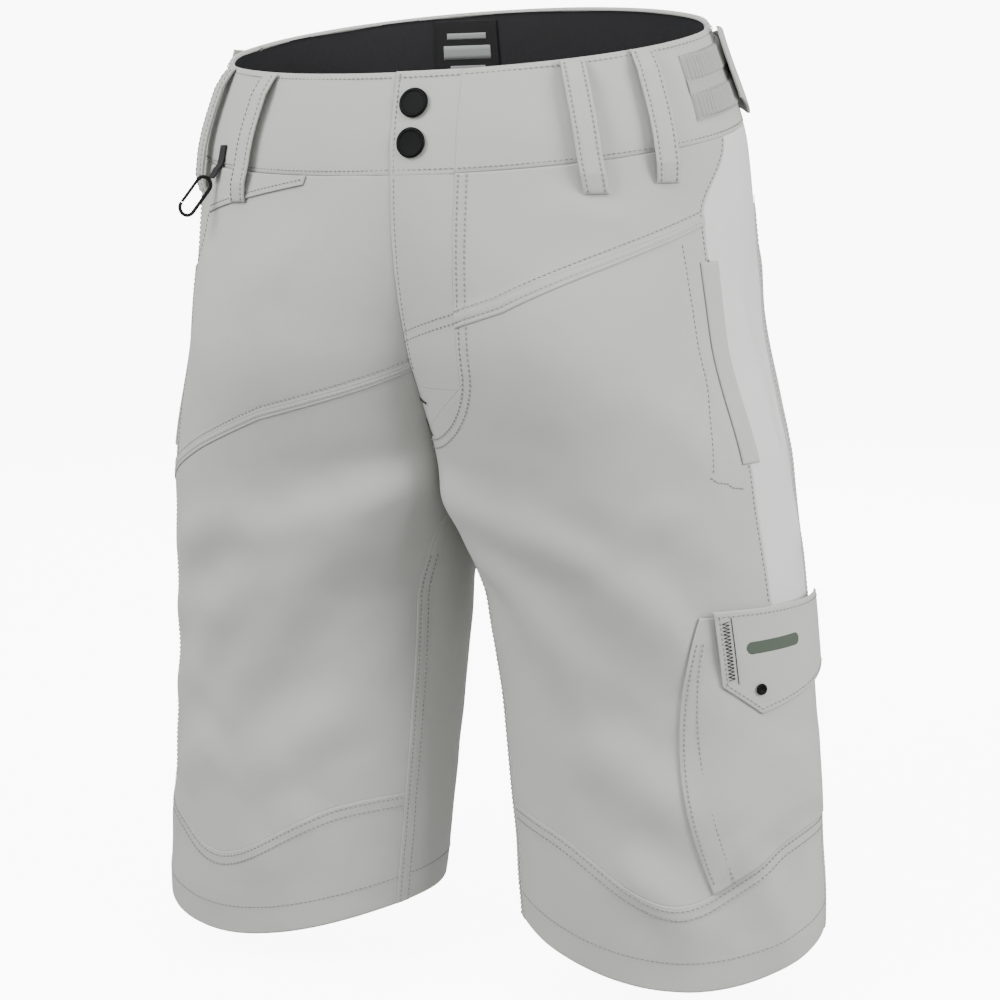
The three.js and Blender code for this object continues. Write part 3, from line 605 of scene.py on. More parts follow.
def sewAll():
    tree = stitchNodes()
    keys = {item.name: item.identifier for item in tree.interface.items_tree if item.in_out == "INPUT"}
    for (bodyName, kind), rows in stitchLines.items():
        points = np.concatenate([row[0] for row in rows])
        normals = np.concatenate([row[1] for row in rows])
        edges, start = [], 0
        for row, _ in rows:
            edges += [(start + i, start + i + 1) for i in range(len(row) - 1)]
            start += len(row)
        mesh = bpy.data.meshes.new("rows")
        mesh.from_pydata([tuple(p) for p in points * mm], edges, [])
        mesh.attributes.new("outward", "FLOAT_VECTOR", "POINT").data.foreach_set("vector", normals.ravel())
        rowsObject = bpy.data.objects.new("rows", mesh)
        bpy.context.scene.collection.objects.link(rowsObject)
        modifier = rowsObject.modifiers.new("stitches", "NODES")
        modifier.node_group = tree
        modifier[keys["Material"]] = looks[kind]
        for name, value in stitchSizes[kind].items():
            modifier[keys[name]] = value * mm
        evaluated = rowsObject.evaluated_get(bpy.context.evaluated_depsgraph_get())
        sewn = bpy.data.meshes.new_from_object(evaluated)
        sewn.polygons.foreach_set("use_smooth", [True] * len(sewn.polygons))
        bpy.data.objects.remove(rowsObject)
        made = bpy.data.objects.new(f"{kind}_{bodyName}", sewn)
        bpy.context.scene.collection.objects.link(made)
        finishPiece(made, bodyName)
        print(f"{kind} on {bodyName}: {len(rows)} rows, {len(sewn.polygons)} faces")


sides = [(1, "left"), (-1, "right")]

pocket = {
    "down": 68, "long": 118, "slot": 5, "cover": 15, "tape": 21, "bagWide": 92, "bagHigh": 158, "bagRim": 9,
}
sidePocketTop = bandSeam(body["sidePanelFront"]) - pocket["down"]
sidePocketBottom = sidePocketTop - pocket["long"]


# The slot beside a side pocket's zip is only open under the zip's cover.
def channelEdge(direction):
    def edge(z):
        openness = np.minimum(ease((sidePocketTop + 4 - z) / 12), ease((z - sidePocketBottom - 8) / 12))
        return sideSeam(z) + direction * pocket["slot"] * openness / degreeSize(sideSeam(z), z)
    return edge


# A ribbed patch beside the top of the side pocket.
def garagePatch(turn, z, edges):
    inside = ease((z + 137) / 1.5) * ease((-102 - z) / 1.5) * ease(edges["to"] - 4) * ease(17 - edges["to"])
    return inside * (0.35 + 0.35 * np.sin(z * 2 * math.pi / 2.4))


for side, word in sides:
    frontEdge = flyInner if side > 0 else frontInner
    outer = constant(body["outseam"])
    panel(f"upper_front_{word}", side, {
        "from": channelEdge(-1), "to": frontEdge, "bottom": frontSeam(side), "top": bandSeam,
    }, "cloth", welts={"bottom": 0.9})
    panel(f"front_leg_{word}", side, {
        "from": channelEdge(-1), "to": frontEdge, "bottom": kneeSeam, "top": frontSeam(side),
        "level": frontSeam(side)(-50),
    }, "cloth")
    panel(f"knee_front_{word}", side, {
        "from": outer, "to": frontInner, "bottom": hem, "top": kneeSeam,
    }, "cloth", welts={"top": 0.3})
    panel(f"side_panel_{word}", side, {
        "from": outer, "to": channelEdge(1), "bottom": kneeSeam, "top": bandSeam,
    }, "stretch", extra=garagePatch)
    panel(f"back_yoke_{word}", side, {
        "from": outer, "to": backInner, "bottom": backSeam, "top": bandSeam,
    }, "cloth", welts={"bottom": 0.8})
    panel(f"back_leg_{word}", side, {
        "from": outer, "to": backInner, "bottom": hem, "top": backSeam, "level": backSeam(100), "settle": 6,
    }, "cloth", welts={"from": 0.8, "to": 0.6})
print("panels")


# The gusset: a diamond folded over the crotch.
def gussetPoints():
    reach = 0.97
    across, along = np.meshgrid(np.linspace(-1, 1, 41), np.linspace(-reach, reach, 17))
    p, q = np.sign(across) * np.sqrt(np.abs(across)), along
    p = np.clip(p, -0.985, 0.985)
    seamZ = crotchZ + (gussetTop - crotchZ) * p ** 2
    turn = np.where(p < 0, -1, 1) * turnAt(0.0, seamZ)
    z = seamZ - (crotchZ - gussetLow) * (1 - p ** 2) * np.abs(q)
    points = skin(np.where(q < 0, -1, 1), turn, z)
    points[..., 0] *= ease(np.abs(q) * 8)
    return points


clothPiece("crotch_gusset", gussetPoints(), "cloth", (0, 0, -1.0))


def wayAt(x, z):
    return -90 * turnAt(x, z) / turnAt(0.0, z)


def around(way, z, lift=0.0):
    right = way > 90
    reach = turnAt(0.0, z) / 90
    turn = np.where(right, 180 - way, way) * reach
    point = skin(np.where(right, -1, 1), turn, z, lift)
    point[..., 0] = np.where(np.abs(way - 90) < 1e-9, 0, point[..., 0])
    return point


# A strip of the band from one place round the body to another. rolled closes its top over the lining.
def bandStrip(name, start, end, look, lift=0.0, thickness=cloth, inset=0.0, rolled=0.0, relief=None,
              plainStart=False):
    rows = stations(body["bandHeight"], 1.6)
    wide = abs(end - float(start(-30.0))) * 2
    u, v = np.meshgrid(stations(wide, 2.4), rows)
    rough = mix(start(0 * u - 30), end, u)
    turn = np.where(rough > 90, 180 - rough, rough)
    z = mix(bandSeam(turn) + inset, brim(turn) - inset, v)
    way = mix(start(z), end, u)
    ends = (1 - u if plainStart else np.minimum(u, 1 - u)) * wide
    edge = np.minimum(ends, np.minimum(v, 1 - v) * body["bandHeight"])
    raised = -0.7 * np.exp(-((edge / 0.8) ** 2))
    if relief is not None:
        raised = raised + relief(turn, z, v * body["bandHeight"])
    points = around(way, z, lift + raised)
    thick = thickness + rolled * ease((v * body["bandHeight"] - body["bandHeight"] + 4) / 2.5)
    out = around(way, z, 1.0) - around(way, z, 0.0)
    return clothPiece(name, points, look, out, thickness=thick)


def bandRelief(turn, z, height):
    rows = 0
    for at in (3.0, body["bandHeight"] - 3.5):
        rows = rows - 0.3 * np.exp(-(((height - at) / 0.9) ** 2))
    wave = 0.28 * np.sin(turn * 1.9 * 2 * math.pi / 17) * np.exp(-((height - 6) / 9) ** 2)
    return rows + wave * 0.5 + 0.35 * np.sin(turn * 1.9 * 2 * math.pi / 61 + height / 21)


half = seamGap / 2
backSide = 180 - body["outseam"]
bandStrip("waistband_front_left", lambda z: wayAt(body["flyWidth"] + hairline, z), body["outseam"] - half / 4,
          "cloth", rolled=2.0, relief=bandRelief, plainStart=True)
bandStrip("waistband_back", constant(body["outseam"] + half / 4), backSide - half / 4,
          "cloth", rolled=2.0, relief=bandRelief)
bandStrip("waistband_front_right", constant(backSide + half / 4), 270 - half / 4,
          "cloth", rolled=2.0, relief=bandRelief)
liningLift = -cloth - drapeGap
bandStrip("waistband_lining", lambda z: wayAt(body["flyWidth"] + 0.3, z), 269, "lining",
          lift=liningLift, thickness=liningCloth, inset=1.8)
labelLift = liningLift - liningCloth - drapeGap
u, v = np.meshgrid(stations(46, 1.5), stations(34, 1.5))
labelZ = mix(brim(90) - 40, brim(90) - 6, v)
label = around(mix(96, 112, u), labelZ, labelLift)
clothPiece("waistband_label", label, "label", (0, 1.0, 0), thickness=0.6)

# Plain woven bars on the label, one over the other.
labelBars = [(8, 12, 0.18, 0.82), (16, 25, 0.12, 0.88), (29, 31, 0.22, 0.78)]  # from, to, then start and end
for row, (low, high, start, end) in enumerate(labelBars):
    u, v = np.meshgrid(np.linspace(start, end, 30), np.linspace(low, high, 4))
    points = around(mix(96, 112, u), brim(90) - 6 - v, labelLift - 0.75)
    clothPiece(f"label_bar_{row}", points, "labelPrint", (0, 1.0, 0), nodes=(), thickness=0.15)
print("waistband")


# A sheet of cloth at a place given by a function of u and v as side, turn, height and lift.
def freeSheet(name, place, size, look, bodyName="shorts", thickness=cloth, step=2.0, nodes=None,
              roll=0.5, plain=False, rolledEdges="all"):
    u, v = np.meshgrid(stations(size[0], step, (0.4, 0.9, 1.6)), stations(size[1], step, (0.4, 0.9, 1.6)))
    side, turn, z, lift = place(u, v)
    edge = u * size[0]
    if rolledEdges != "first":
        edge = np.minimum(edge, np.minimum(v, 1 - v) * size[1])
    if rolledEdges == "all":
        edge = np.minimum(edge, (1 - u) * size[0])
    lift = lift - roll * np.exp(-((edge / 0.6) ** 2))
    points = (skin if plain else onCloth)(side, turn, z, lift)
    out = skin(side, turn, z, 1.0) - skin(side, turn, z, 0.0)
    return clothPiece(name, points, look, out, bodyName, nodes, thickness)


def inFront(x, z):
    return np.where(x < 0, -1, 1), -turnAt(np.abs(x), z)


def frontPlace(xs, zs, lift):
    def place(u, v):
        x, z = xs(u, v), zs(u, v)
        side, turn = inFront(x, z)
        return side, turn, z, lift(u, v, x, z) if callable(lift) else lift + 0 * u
    return place


tabCloth = 1.8
flyWidth = body["flyWidth"]


def flyTab():
    def place(u, v):
        x = mix(0.1, flyWidth - hairline, u)
        turn = -turnAt(x, -body["bandHeight"])
        z = mix(bandSeam(turn) + half, brim(turn) - half, v)
        edge = np.minimum(np.minimum(v, 1 - v) * body["bandHeight"], u * flyWidth)
        rolled = 0.2 * np.exp(-((edge / 0.6) ** 2)) * (u > 0.2)
        lift = mix(0.25, 0, ease((x - 16) / 24)) + bandRelief(wayAt(x, -30.0), z, v * body["bandHeight"])
        return 1, -turnAt(x, z), z, lift - rolled
    return freeSheet("waistband_fly_tab", place, (flyWidth, body["bandHeight"]), "cloth",
                     "fly_flap", tabCloth, rolledEdges="open")


def placket(name, low, high, bodyName):
    def place(u, v):
        z = mix(low, high, v)
        x = mix(0.1, np.maximum(1.1, flyReach(z) - hairline), u)
        return 1, -turnAt(x, z), z, 0.35 * (1 - ease((x - 6) / 30)) * ease((z - opensFrom) / 25)
    size = flyWidth, high - low
    return freeSheet(name, place, size, "cloth", bodyName, rolledEdges="first")


flyTab()
opensFrom = flyBottom + body["flyPoint"] - 2
placket("fly_placket", opensFrom + hairline, bandSeam(-86), "fly_flap")
placket("fly_placket_end", flyBottom + 2, opensFrom - hairline, "shorts")

underlapLift = -(tabCloth + 3 + 3 * drapeGap)
behindLining = -cloth - liningCloth - 2 * drapeGap


def underlapPlace(u, v):
    x = mix(-16, flyWidth - 7, u)
    turn = -turnAt(np.abs(x), -body["bandHeight"])
    z = mix(bandSeam(turn) + 2, brim(turn) - 3, v)
    side, turn = inFront(x, z)
    return side, turn, z, mix(behindLining, underlapLift, ease((x + 8) / 12))


freeSheet("waistband_underlap", underlapPlace, (50, 55), "cloth")
zipX = flyWidth * 0.42
zipTop = bandSeam(-85) - 6
zipLength = zipTop - (flyBottom + body["flyPoint"] + 13)
sliderThickness = 2.2
tapeLift = -cloth - 2 * drapeGap - sliderThickness - 1.4
shieldLift = tapeLift - liningCloth - drapeGap
freeSheet("fly_zip_tape", frontPlace(
    lambda u, v: zipX + (u - 0.5) * 26, lambda u, v: mix(zipTop - zipLength, zipTop, v), tapeLift,
), (26, zipLength), "tape", thickness=liningCloth, roll=0.2)
freeSheet("fly_shield", frontPlace(
    lambda u, v: mix(-14, flyWidth - 6, u), lambda u, v: mix(zipTop - zipLength - 6, bandSeam(-90) - 1, v),
    lambda u, v, x, z: mix(-cloth - 1.8 * drapeGap, shieldLift, ease((x + 6) / 12)),
), (49, zipLength), "cloth")

sliderTop = -cloth * 0.6
channelTape = sliderTop - sliderThickness - 1.1
for side, word in sides:
    def alongSlot(low, high, start, end, lift):
        def place(u, v):
            z = mix(low, high, v)
            centre = sideSeam(z)
            return side, centre + mix(start, end, u) / degreeSize(centre, z), z, lift + 0 * u
        return place
    ends = sidePocketBottom + half, sidePocketTop - half
    freeSheet(f"pocket_zip_cover_{word}", alongSlot(*ends, 7.6, -7.6, drapeGap + liningCloth),
              (pocket["cover"], pocket["long"]), "cloth", thickness=0.5, roll=1.0, plain=True)
    freeSheet(f"pocket_zip_tape_{word}", alongSlot(*ends, 10.6, -10.6, channelTape),
              (pocket["tape"], pocket["long"]), "tape", thickness=liningCloth, roll=0.2, plain=True)
    bagDeep = channelTape - liningCloth - drapeGap

    def bagPlace(u, v):
        z = mix(sidePocketBottom - 25.6, sidePocketTop + 13.6, v)
        centre = sideSeam(z)
        near = np.minimum(np.minimum(u, 1 - u) * pocket["bagWide"], np.minimum(v, 1 - v) * pocket["bagHigh"])
        lift = mix(-cloth - 1.6 * drapeGap, bagDeep, ease(near / pocket["bagRim"]))
        return side, centre + mix(29.6, -61.6, u) / degreeSize(centre, z), z, lift
    freeSheet(f"pocket_bag_{word}", bagPlace, (pocket["bagWide"], pocket["bagHigh"]), "mesh",
              thickness=liningCloth, roll=0.0)
print("fly and pockets")

loop = {"wide": 14.5, "long": 78, "foot": 2.3, "arch": 4.6, "ramp": 12, "thickness": 1.7, "rows": 4.9}
loopPlaces = {
    "belt_loop_front_left": (1, -52), "belt_loop_side_left": (1, -34), "belt_loop_front_right": (-1, -56),
    "belt_loop_side_right": (-1, -34), "belt_loop_back_left": (1, 58), "belt_loop_back_right": (-1, 58),
    "belt_loop_back_centre": (1, 90),
}


def loopSpot(side, turn, across, z):
    if turn == 90:
        return np.where(across < 0, -1, 1), turnAt(np.abs(across), z) + 0 * z
    return side, turn + across / degreeSize(turn, z)


# A loop is sewn down at both ends and stands off the band between them.
def loopArch(share):
    fromEnd = np.minimum(share, 1 - share) * loop["long"]
    return loop["foot"] + loop["arch"] * np.clip(fromEnd / loop["ramp"], 0, 1) ** 0.7


for name, (side, turn) in loopPlaces.items():
    low, high = bandSeam(turn) - 18, brim(turn) - 1

    def loopPlace(u, v):
        z = mix(low, high, v)
        spotSide, spotTurn = loopSpot(side, turn, (u - 0.5) * loop["wide"], z)
        seams = -0.3 * np.exp(-(((np.abs(u - 0.5) - 0.33) * loop["wide"] / 0.7) ** 2))
        return spotSide, spotTurn, z, loopArch(v) + seams
    freeSheet(name, loopPlace, (loop["wide"], loop["long"]), "cloth", thickness=loop["thickness"],
              step=1.3, roll=0.7, plain=True)
    for row in (-loop["rows"], loop["rows"]):
        z = np.linspace(low + 2, high - 2, 40)
        share = (z - low) / (high - low)
        spotSide, spotTurn = loopSpot(side, turn, row + 0 * z, z)
        arch = loopArch(share) + 0.1
        lines = skin(spotSide, spotTurn, z, arch)
        keepRow("shorts", "thread", lines, skin(spotSide, spotTurn, z, arch + 1) - lines)
    for z in (low + 3, high - 4):
        weave = np.linspace(-6, 6, 25)
        spotSide, spotTurn = loopSpot(side, turn, weave, z + 0 * weave)
        lines = skin(spotSide, spotTurn, z + 0.8 * np.sign(np.sin(np.arange(25) * math.pi / 2 + 0.7)), 3.3)
        out = skin(spotSide, spotTurn, z, 4.3) - skin(spotSide, spotTurn, z, 3.3)
        keepRow("shorts", "thread", lines, out)
print("loops")

adjuster = {
    "ladder": (-22, 36), "rung": 3.0, "rungHeight": 1.0, "tab": (-1, 33), "tabHigh": 42, "strap": (33.2, 54),
}
tabLift = drapeGap + liningCloth + 3.6
for side, word in sides:
    def ladderPlace(u, v):
        turn = mix(*adjuster["ladder"], u)
        down = mix(47, 9, v)
        z = brim(turn) - down
        rung = adjuster["rungHeight"] * np.tanh(4 * np.sin(turn * 1.95 * 2 * math.pi / adjuster["rung"]))
        inBand = np.maximum(ease(down - 9) * ease(24 - down), ease(down - 31) * ease(46 - down))
        return side, turn, z, drapeGap + liningCloth - 0.5 + inBand * (0.4 + rung)
    freeSheet(f"adjuster_ladder_{word}", ladderPlace, (112, 38), "tape", thickness=0.6,
              step=0.7, roll=0.2)

    def tabPlace(u, v):
        turn = mix(*adjuster["tab"], u)
        point = np.minimum(1, np.minimum(u * 2.2, (1 - u) * 1.6)) * 10
        top = brim(16) - 6
        z = mix(top - adjuster["tabHigh"] - point, top, v)
        return side, turn, z, tabLift + 2.6 * (1 - u) ** 2
    freeSheet(f"adjuster_tab_{word}", tabPlace, (68, 48), "cloth", f"adjuster_tab_{word}", 1.6,
              plain=True)
    strapLift = drapeGap + cloth

    def strapPlace(u, v):
        turn = mix(*adjuster["strap"], u)
        z = mix(brim(turn) - 44, brim(turn) - 14, v)
        rib = 0.2 * np.sin(v * 30 * 2 * math.pi / 2.2)
        return side, turn, z, strapLift + (1 - ease(u * 2)) * (tabLift - strapLift) + rib
    freeSheet(f"adjuster_strap_{word}", strapPlace, (42, 30), "tape", step=0.7, plain=True)

facingLift = drapeGap + liningCloth


def keyPocketEdge(turn):
    return bandSeam(-79) - 2 - 0.45 * (turn + 80)


panel("key_pocket_facing", -1, {
    "from": constant(-40), "to": constant(-75), "top": bandSeam, "bottom": keyPocketEdge,
}, "cloth", lift=facingLift, thickness=liningCloth)

clipTurn = -44
clipZ = float(bandSeam(clipTurn)) - 2
seat = 0.4


def keyStrapPlace(u, v):
    z = mix(clipZ - 4, clipZ + 16, v)
    under = facingLift * (1 - ease((z - clipZ - 1.4) / 3))
    return -1, clipTurn + (u - 0.5) * 3, z, under + seat + 1 + 4 * (1 - v) ** 3


freeSheet("key_strap", keyStrapPlace, (6, 20), "lining", thickness=1, step=0.8, roll=0.2,
          plain=True)


# A round bar along a line of points, with two flat ends.
def bar(name, line, radius, look, bodyName, sides=14):
    line = np.asarray(line)
    heading = np.gradient(line, axis=0)
    heading /= np.linalg.norm(heading, axis=1)[:, None]
    flat = np.linalg.svd(line - line.mean(0))[2][2]
    across = np.cross(heading, flat)
    across /= np.linalg.norm(across, axis=1)[:, None]
    angles = np.linspace(0, 2 * math.pi, sides, endpoint=False)
    ring = [line + radius * (math.cos(a) * across + math.sin(a) * flat) for a in angles]
    vertices = np.stack(ring, 1).reshape(-1, 3)
    faces = []
    for i in range(len(line) - 1):
        for j in range(sides):
            k = (j + 1) % sides
            faces.append((i * sides + j, i * sides + k, (i + 1) * sides + k, (i + 1) * sides + j))
    faces.append(tuple(range(sides))[::-1])
    faces.append(tuple((len(line) - 1) * sides + j for j in range(sides)))
    return finishPiece(makeObject(name, vertices, faces, look), bodyName, (name,))


clipSize = {"long": 30, "wide": 12, "wire": 2.3, "lean": 40, "gate": 0.86}
clipNormal = skin(-1, clipTurn, clipZ, 1.0) - skin(-1, clipTurn, clipZ)
lean = math.radians(clipSize["lean"])
upright = np.array([0, 0, 1.0])
clipAlong = clipNormal * math.sin(lean) - upright * math.cos(lean)
clipAcross = clipNormal * math.cos(lean) + upright * math.sin(lean)
strapEnd = facingLift + seat + 1 + 4
clipTop = skin(-1, clipTurn, clipZ - 4, strapEnd + clipSize["wire"] / 2 + seat)
clipTop[2] = clipZ - 4 - seat
hookRadius = (clipSize["wide"] - clipSize["wire"]) / 2
clipSpan = clipSize["long"] - clipSize["wide"]


def onClip(length, width):
    return clipTop + clipAlong * length + clipAcross * width


def clipArc(centre, start, end):
    return [onClip(centre + hookRadius * math.cos(a), hookRadius * math.sin(a))
            for a in np.radians(np.linspace(start, end, 19))]


bar("key_clip_hook", clipArc(hookRadius, 90, 270) + clipArc(hookRadius + clipSpan, 270, 450),
    clipSize["wire"] / 2, "clip", "key_clip")
gateLine = [onClip(hookRadius + seat + t * (clipSpan - 3 * seat), hookRadius) for t in np.linspace(0, 1, 5)]
bar("key_clip_gate", gateLine, clipSize["wire"] / 2 * clipSize["gate"], "clip", "key_clip_gate")

cargo = {
    "down": 77, "front": -50, "point": -36, "deep": 46, "pointDeep": 18, "fullness": 2.4, "standOff": 2.6,
}
flapZ = crotchZ - cargo["down"]
flapFront = cargo["front"]
bodyLift = 1.2 * drapeGap + cloth


def cargoEdge(z):
    return -53 - 14 * np.sin(math.pi * np.clip((flapZ - z) / 190, 0, 1)) ** 0.8


def cargoBulge(turn, z, edges):
    near = np.minimum(np.minimum(edges["from"], edges["to"]), edges["bottom"])
    fullness = cargo["fullness"] * ease(near / 26) * ease((flapZ - 22 - z) / 30)
    return fullness + 0.4 * np.sin(z / 8.5 + turn / 7) * ease(near / 16)


panel("cargo_pocket", 1, {
    "from": constant(body["outseam"] - 3), "to": cargoEdge, "bottom": lambda turn: kneeSeam(turn) + 1.2,
    "top": constant(flapZ - 4),
}, "cloth", lift=bodyLift, extra=cargoBulge)
flapLift = bodyLift + cloth + cargo["standOff"]
flapPointTurn = cargo["point"]


def flapBottom(turn):
    front = (turn - flapFront) / (flapPointTurn - flapFront)
    rear = (body["outseam"] + 4 - turn) / (body["outseam"] + 4 - flapPointTurn)
    toPoint = np.clip(np.where(turn < flapPointTurn, front, rear), 0, 1)
    return flapZ - cargo["deep"] - cargo["pointDeep"] * toPoint


panel("cargo_flap", 1, {
    "from": constant(body["outseam"] + 4), "to": constant(flapFront), "bottom": flapBottom,
    "top": constant(flapZ),
}, "cloth", body="cargo_flap", lift=flapLift)


# A plain rounded bar stands for the print on the flap.
def printPlace(u, v):
    turn = mix(-40, -15, u)
    cap = np.sqrt(np.clip(1 - ((np.abs(u - 0.5) - 0.41) / 0.09).clip(0, 1) ** 2, 0.02, 1))
    return 1, turn, -364 + turn * 0.06 + 0.9 + (v - 0.5) * 7.5 * cap, flapLift + 0.16


freeSheet("flap_print", printPlace, (46, 8), "print", "cargo_flap", 0.12, step=0.8, nodes=(),
          roll=0)


# A turned piece standing on the cloth, from a profile of radius and height.
def turned(name, side, turn, z, lift, profile, look, bodyName, segments=40):
    base = skin(side, turn, z)
    forward = skin(side, turn + 0.5, z) - skin(side, turn - 0.5, z)
    normal = np.cross(forward, skin(side, turn, z + 1) - skin(side, turn, z - 1)) * side
    normal /= np.linalg.norm(normal)
    across = np.cross(normal, upright)
    across /= np.linalg.norm(across)
    other = np.cross(normal, across)
    foot = base + normal * lift
    angles = np.linspace(0, 2 * math.pi, segments, endpoint=False)
    vertices, faces = [foot + normal * profile[0][1]], []
    for radius, height in profile[1:-1]:
        ring = [math.cos(a) * across + math.sin(a) * other for a in angles]
        vertices += [foot + normal * height + radius * spoke for spoke in ring]
    vertices.append(foot + normal * profile[-1][1])
    rings = len(profile) - 2
    for j in range(segments):
        k = (j + 1) % segments
        faces.append((0, 1 + j, 1 + k))
        for i in range(rings - 1):
            low, high = 1 + i * segments, 1 + (i + 1) * segments
            faces.append((low + j, high + j, high + k, low + k))
        faces.append((1 + (rings - 1) * segments + k, 1 + (rings - 1) * segments + j, len(vertices) - 1))
    return finishPiece(makeObject(name, vertices, faces, look), bodyName, (name,))


# Radius and height along a snap cap's profile: a rolled rim round a sunk face.
capProfile = [(0, 0), (8.4, 0), (9, 0.5), (9, 1.1), (8.7, 1.6), (8.2, 1.9), (7.8, 2.0), (7.1, 2.0),
              (6.9, 1.9), (6.8, 1.7), (6.7, 1.6), (6.5, 1.58), (0.4, 1.6), (0, 1.6)]
upperSnap = float(brim(-90)) - body["bandHeight"] * 0.31
lowerSnap = upperSnap - max(22, body["bandHeight"] * 0.38)
for word, z in (("upper", upperSnap), ("lower", lowerSnap)):
    turned(f"snap_cap_{word}", 1, -float(turnAt(14, z)), z, drapeGap * 0.8, capProfile, "snap",
           "fly_flap")
flapCap = [(0, 0), (3.2, 0), (3.5, 0.3), (3.4, 0.9), (2.9, 1.3), (2.4, 1.3), (2.0, 1.0), (0, 1.1)]
turned("flap_snap_cap", 1, flapPointTurn, flapZ - 49, flapLift + drapeGap * 0.8, flapCap, "snap",
       "cargo_flap")
for name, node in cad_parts.items():
    if not node.hide_render:
        node.data.materials.clear()
        node.data.materials.append(looks["metal"])
        print("kept", name)
print("trim")


# How far the rows stand off the plain cloth, over raised seams and at the fly, and in from the band's edges.
sewn = {"flat": 0.2, "seam": 0.55, "edge": 0.15, "fly": 0.4, "inset": 3.2}


# A row along a seam line, kept where a condition on turn and height holds.
def sewAlong(bodyName, side, turns, line, off, lift, holds=lambda turn, z: turn < 360):
    turn = np.linspace(*turns)
    z = line(turn) + off
    inside = holds(turn, z)
    stitch(bodyName, side, turn[inside], z[inside], lift)


# A row down the cloth, its turn given at each height.
def sewDown(bodyName, side, heights, turnOf, lift, kind="thread"):
    z = np.linspace(*heights)
    stitch(bodyName, side, turnOf(z), z, lift, kind)


for side, word in sides:
    for line, off in ((brim, -sewn["inset"]), (bandSeam, sewn["inset"])):
        sewAlong("shorts", side, (-95, 90, 260), line, off, sewn["edge"], lambda turn, z: (
            (turn > -turnAt(flyWidth + 2 if side > 0 else 2.0, z)) & (turn < turnAt(0.3, z))))
    for off in edging["rows"]:
        # the slanting front seam, the knee seam and the yoke's seam
        sewAlong("shorts", side, (-26, -142, 300), frontSeam(side), off, sewn["seam"],
                 lambda turn, z: turn > -turnAt(0.8 if side < 0 else flyReach(z) + 0.6, z))
        sewAlong("shorts", side, (6, -148, 300), kneeSeam, -off, sewn["seam"])
        sewAlong("shorts", side, (9.5, 128, 220), backSeam, off, sewn["seam"],
                 lambda turn, z: turn < turnAt(1.0, z))
        # the side seam behind and the inside leg seam
        sewDown("shorts", side, (hem(8.0) + 2, backSeam(8.0) - 2, 240),
                lambda z: 8 + off / degreeSize(8 + 0 * z, z), sewn["seam"])
        sewDown("shorts", side, (hem(-150.0) + 2, gussetLow - 46, 160),
                lambda z: 210 - off / degreeSize(210 + 0 * z, z), sewn["seam"])
    sewAlong("shorts", side, (-149, 209, 460), hem, 18, sewn["edge"])
    # below and above the side pocket, its inner row and its bar tack
    lowEnd = flapZ + 3 if side > 0 else float(kneeSeam(-24.0)) + 2
    for heights in ((lowEnd, sidePocketBottom - 2, 90), (sidePocketTop + 2, float(bandSeam(-12.0)) - 2, 50)):
        sewDown("shorts", side, heights, lambda z: sideSeam(z) - 2.4 / degreeSize(sideSeam(z), z),
                sewn["flat"])
    sewDown("shorts", side, (-128, -258, 70), lambda z: -32.5 - 9 * ease((-200 - z) / 70), sewn["flat"])
    weave = np.linspace(0, 1, 17)
    stitch("shorts", side, mix(-42, -30, weave), mix(-263, -271, weave) + 0.7 * (-1) ** np.arange(17), 0.4)
    # centre back
    sewDown("shorts", side, (gussetTop + 4, float(bandSeam(90.0)) - 3, 120), lambda z: turnAt(3.0, z),
            sewn["flat"])

# The fly's curved double row, its edge and the slanting rows that cross it.
z = np.linspace(float(bandSeam(-70.0)) - 2, flyBottom + 40, 90)
for off in (2.4, 7.6):
    reach = flyWidth + off
    turns = np.linspace(0, math.pi / 2, 30)
    curveZ = flyBottom + 40 - (44 + off - 2.4) * np.sin(turns)
    curveX = reach - (reach - 1.5) * (1 - np.cos(turns)) ** 0.9
    rowX, rowZ = np.concatenate([reach + 0 * z, curveX]), np.concatenate([z, curveZ])
    stitch("shorts", 1, -turnAt(rowX, rowZ), rowZ, 0.45)
heights = flyBottom + 42, float(bandSeam(-86.0)) - 3, 90
sewDown("fly_flap", 1, heights, lambda z: -turnAt(3.0, z), sewn["fly"])
for off in edging["rows"]:
    x = np.linspace(1.5, flyWidth - 1, 30)
    z = frontSeam(1)(-turnAt(x, -170.0)) + off
    stitch("fly_flap", 1, -turnAt(x, z), z, sewn["fly"])
heights = float(bandSeam(-86.0)) + 2, float(brim(-86.0)) - 2, 40
sewDown("fly_flap", 1, heights, lambda z: -turnAt(3.0, z), sewn["fly"])
x = np.linspace(3, flyWidth - 2, 40)
for line, off in ((brim, -sewn["inset"]), (bandSeam, sewn["inset"])):
    z = line(-turnAt(x, -60.0)) + off
    stitch("fly_flap", 1, -turnAt(x, z), z, sewn["fly"])
# Bar tacks at the fly's end: reach from and to, height from and to.
for x0, x1, z0, z1 in ((2, 8, flyBottom + 8, flyBottom - 1), (2, 9, flyBottom + 22, flyBottom + 20)):
    weave = np.linspace(0, 1, 13)
    tackZ = mix(z0, z1, weave) + 0.7 * (-1) ** np.arange(13)
    stitch("shorts", 1, -turnAt(mix(x0, x1, weave), tackZ), tackZ, 0.7, "darkThread")

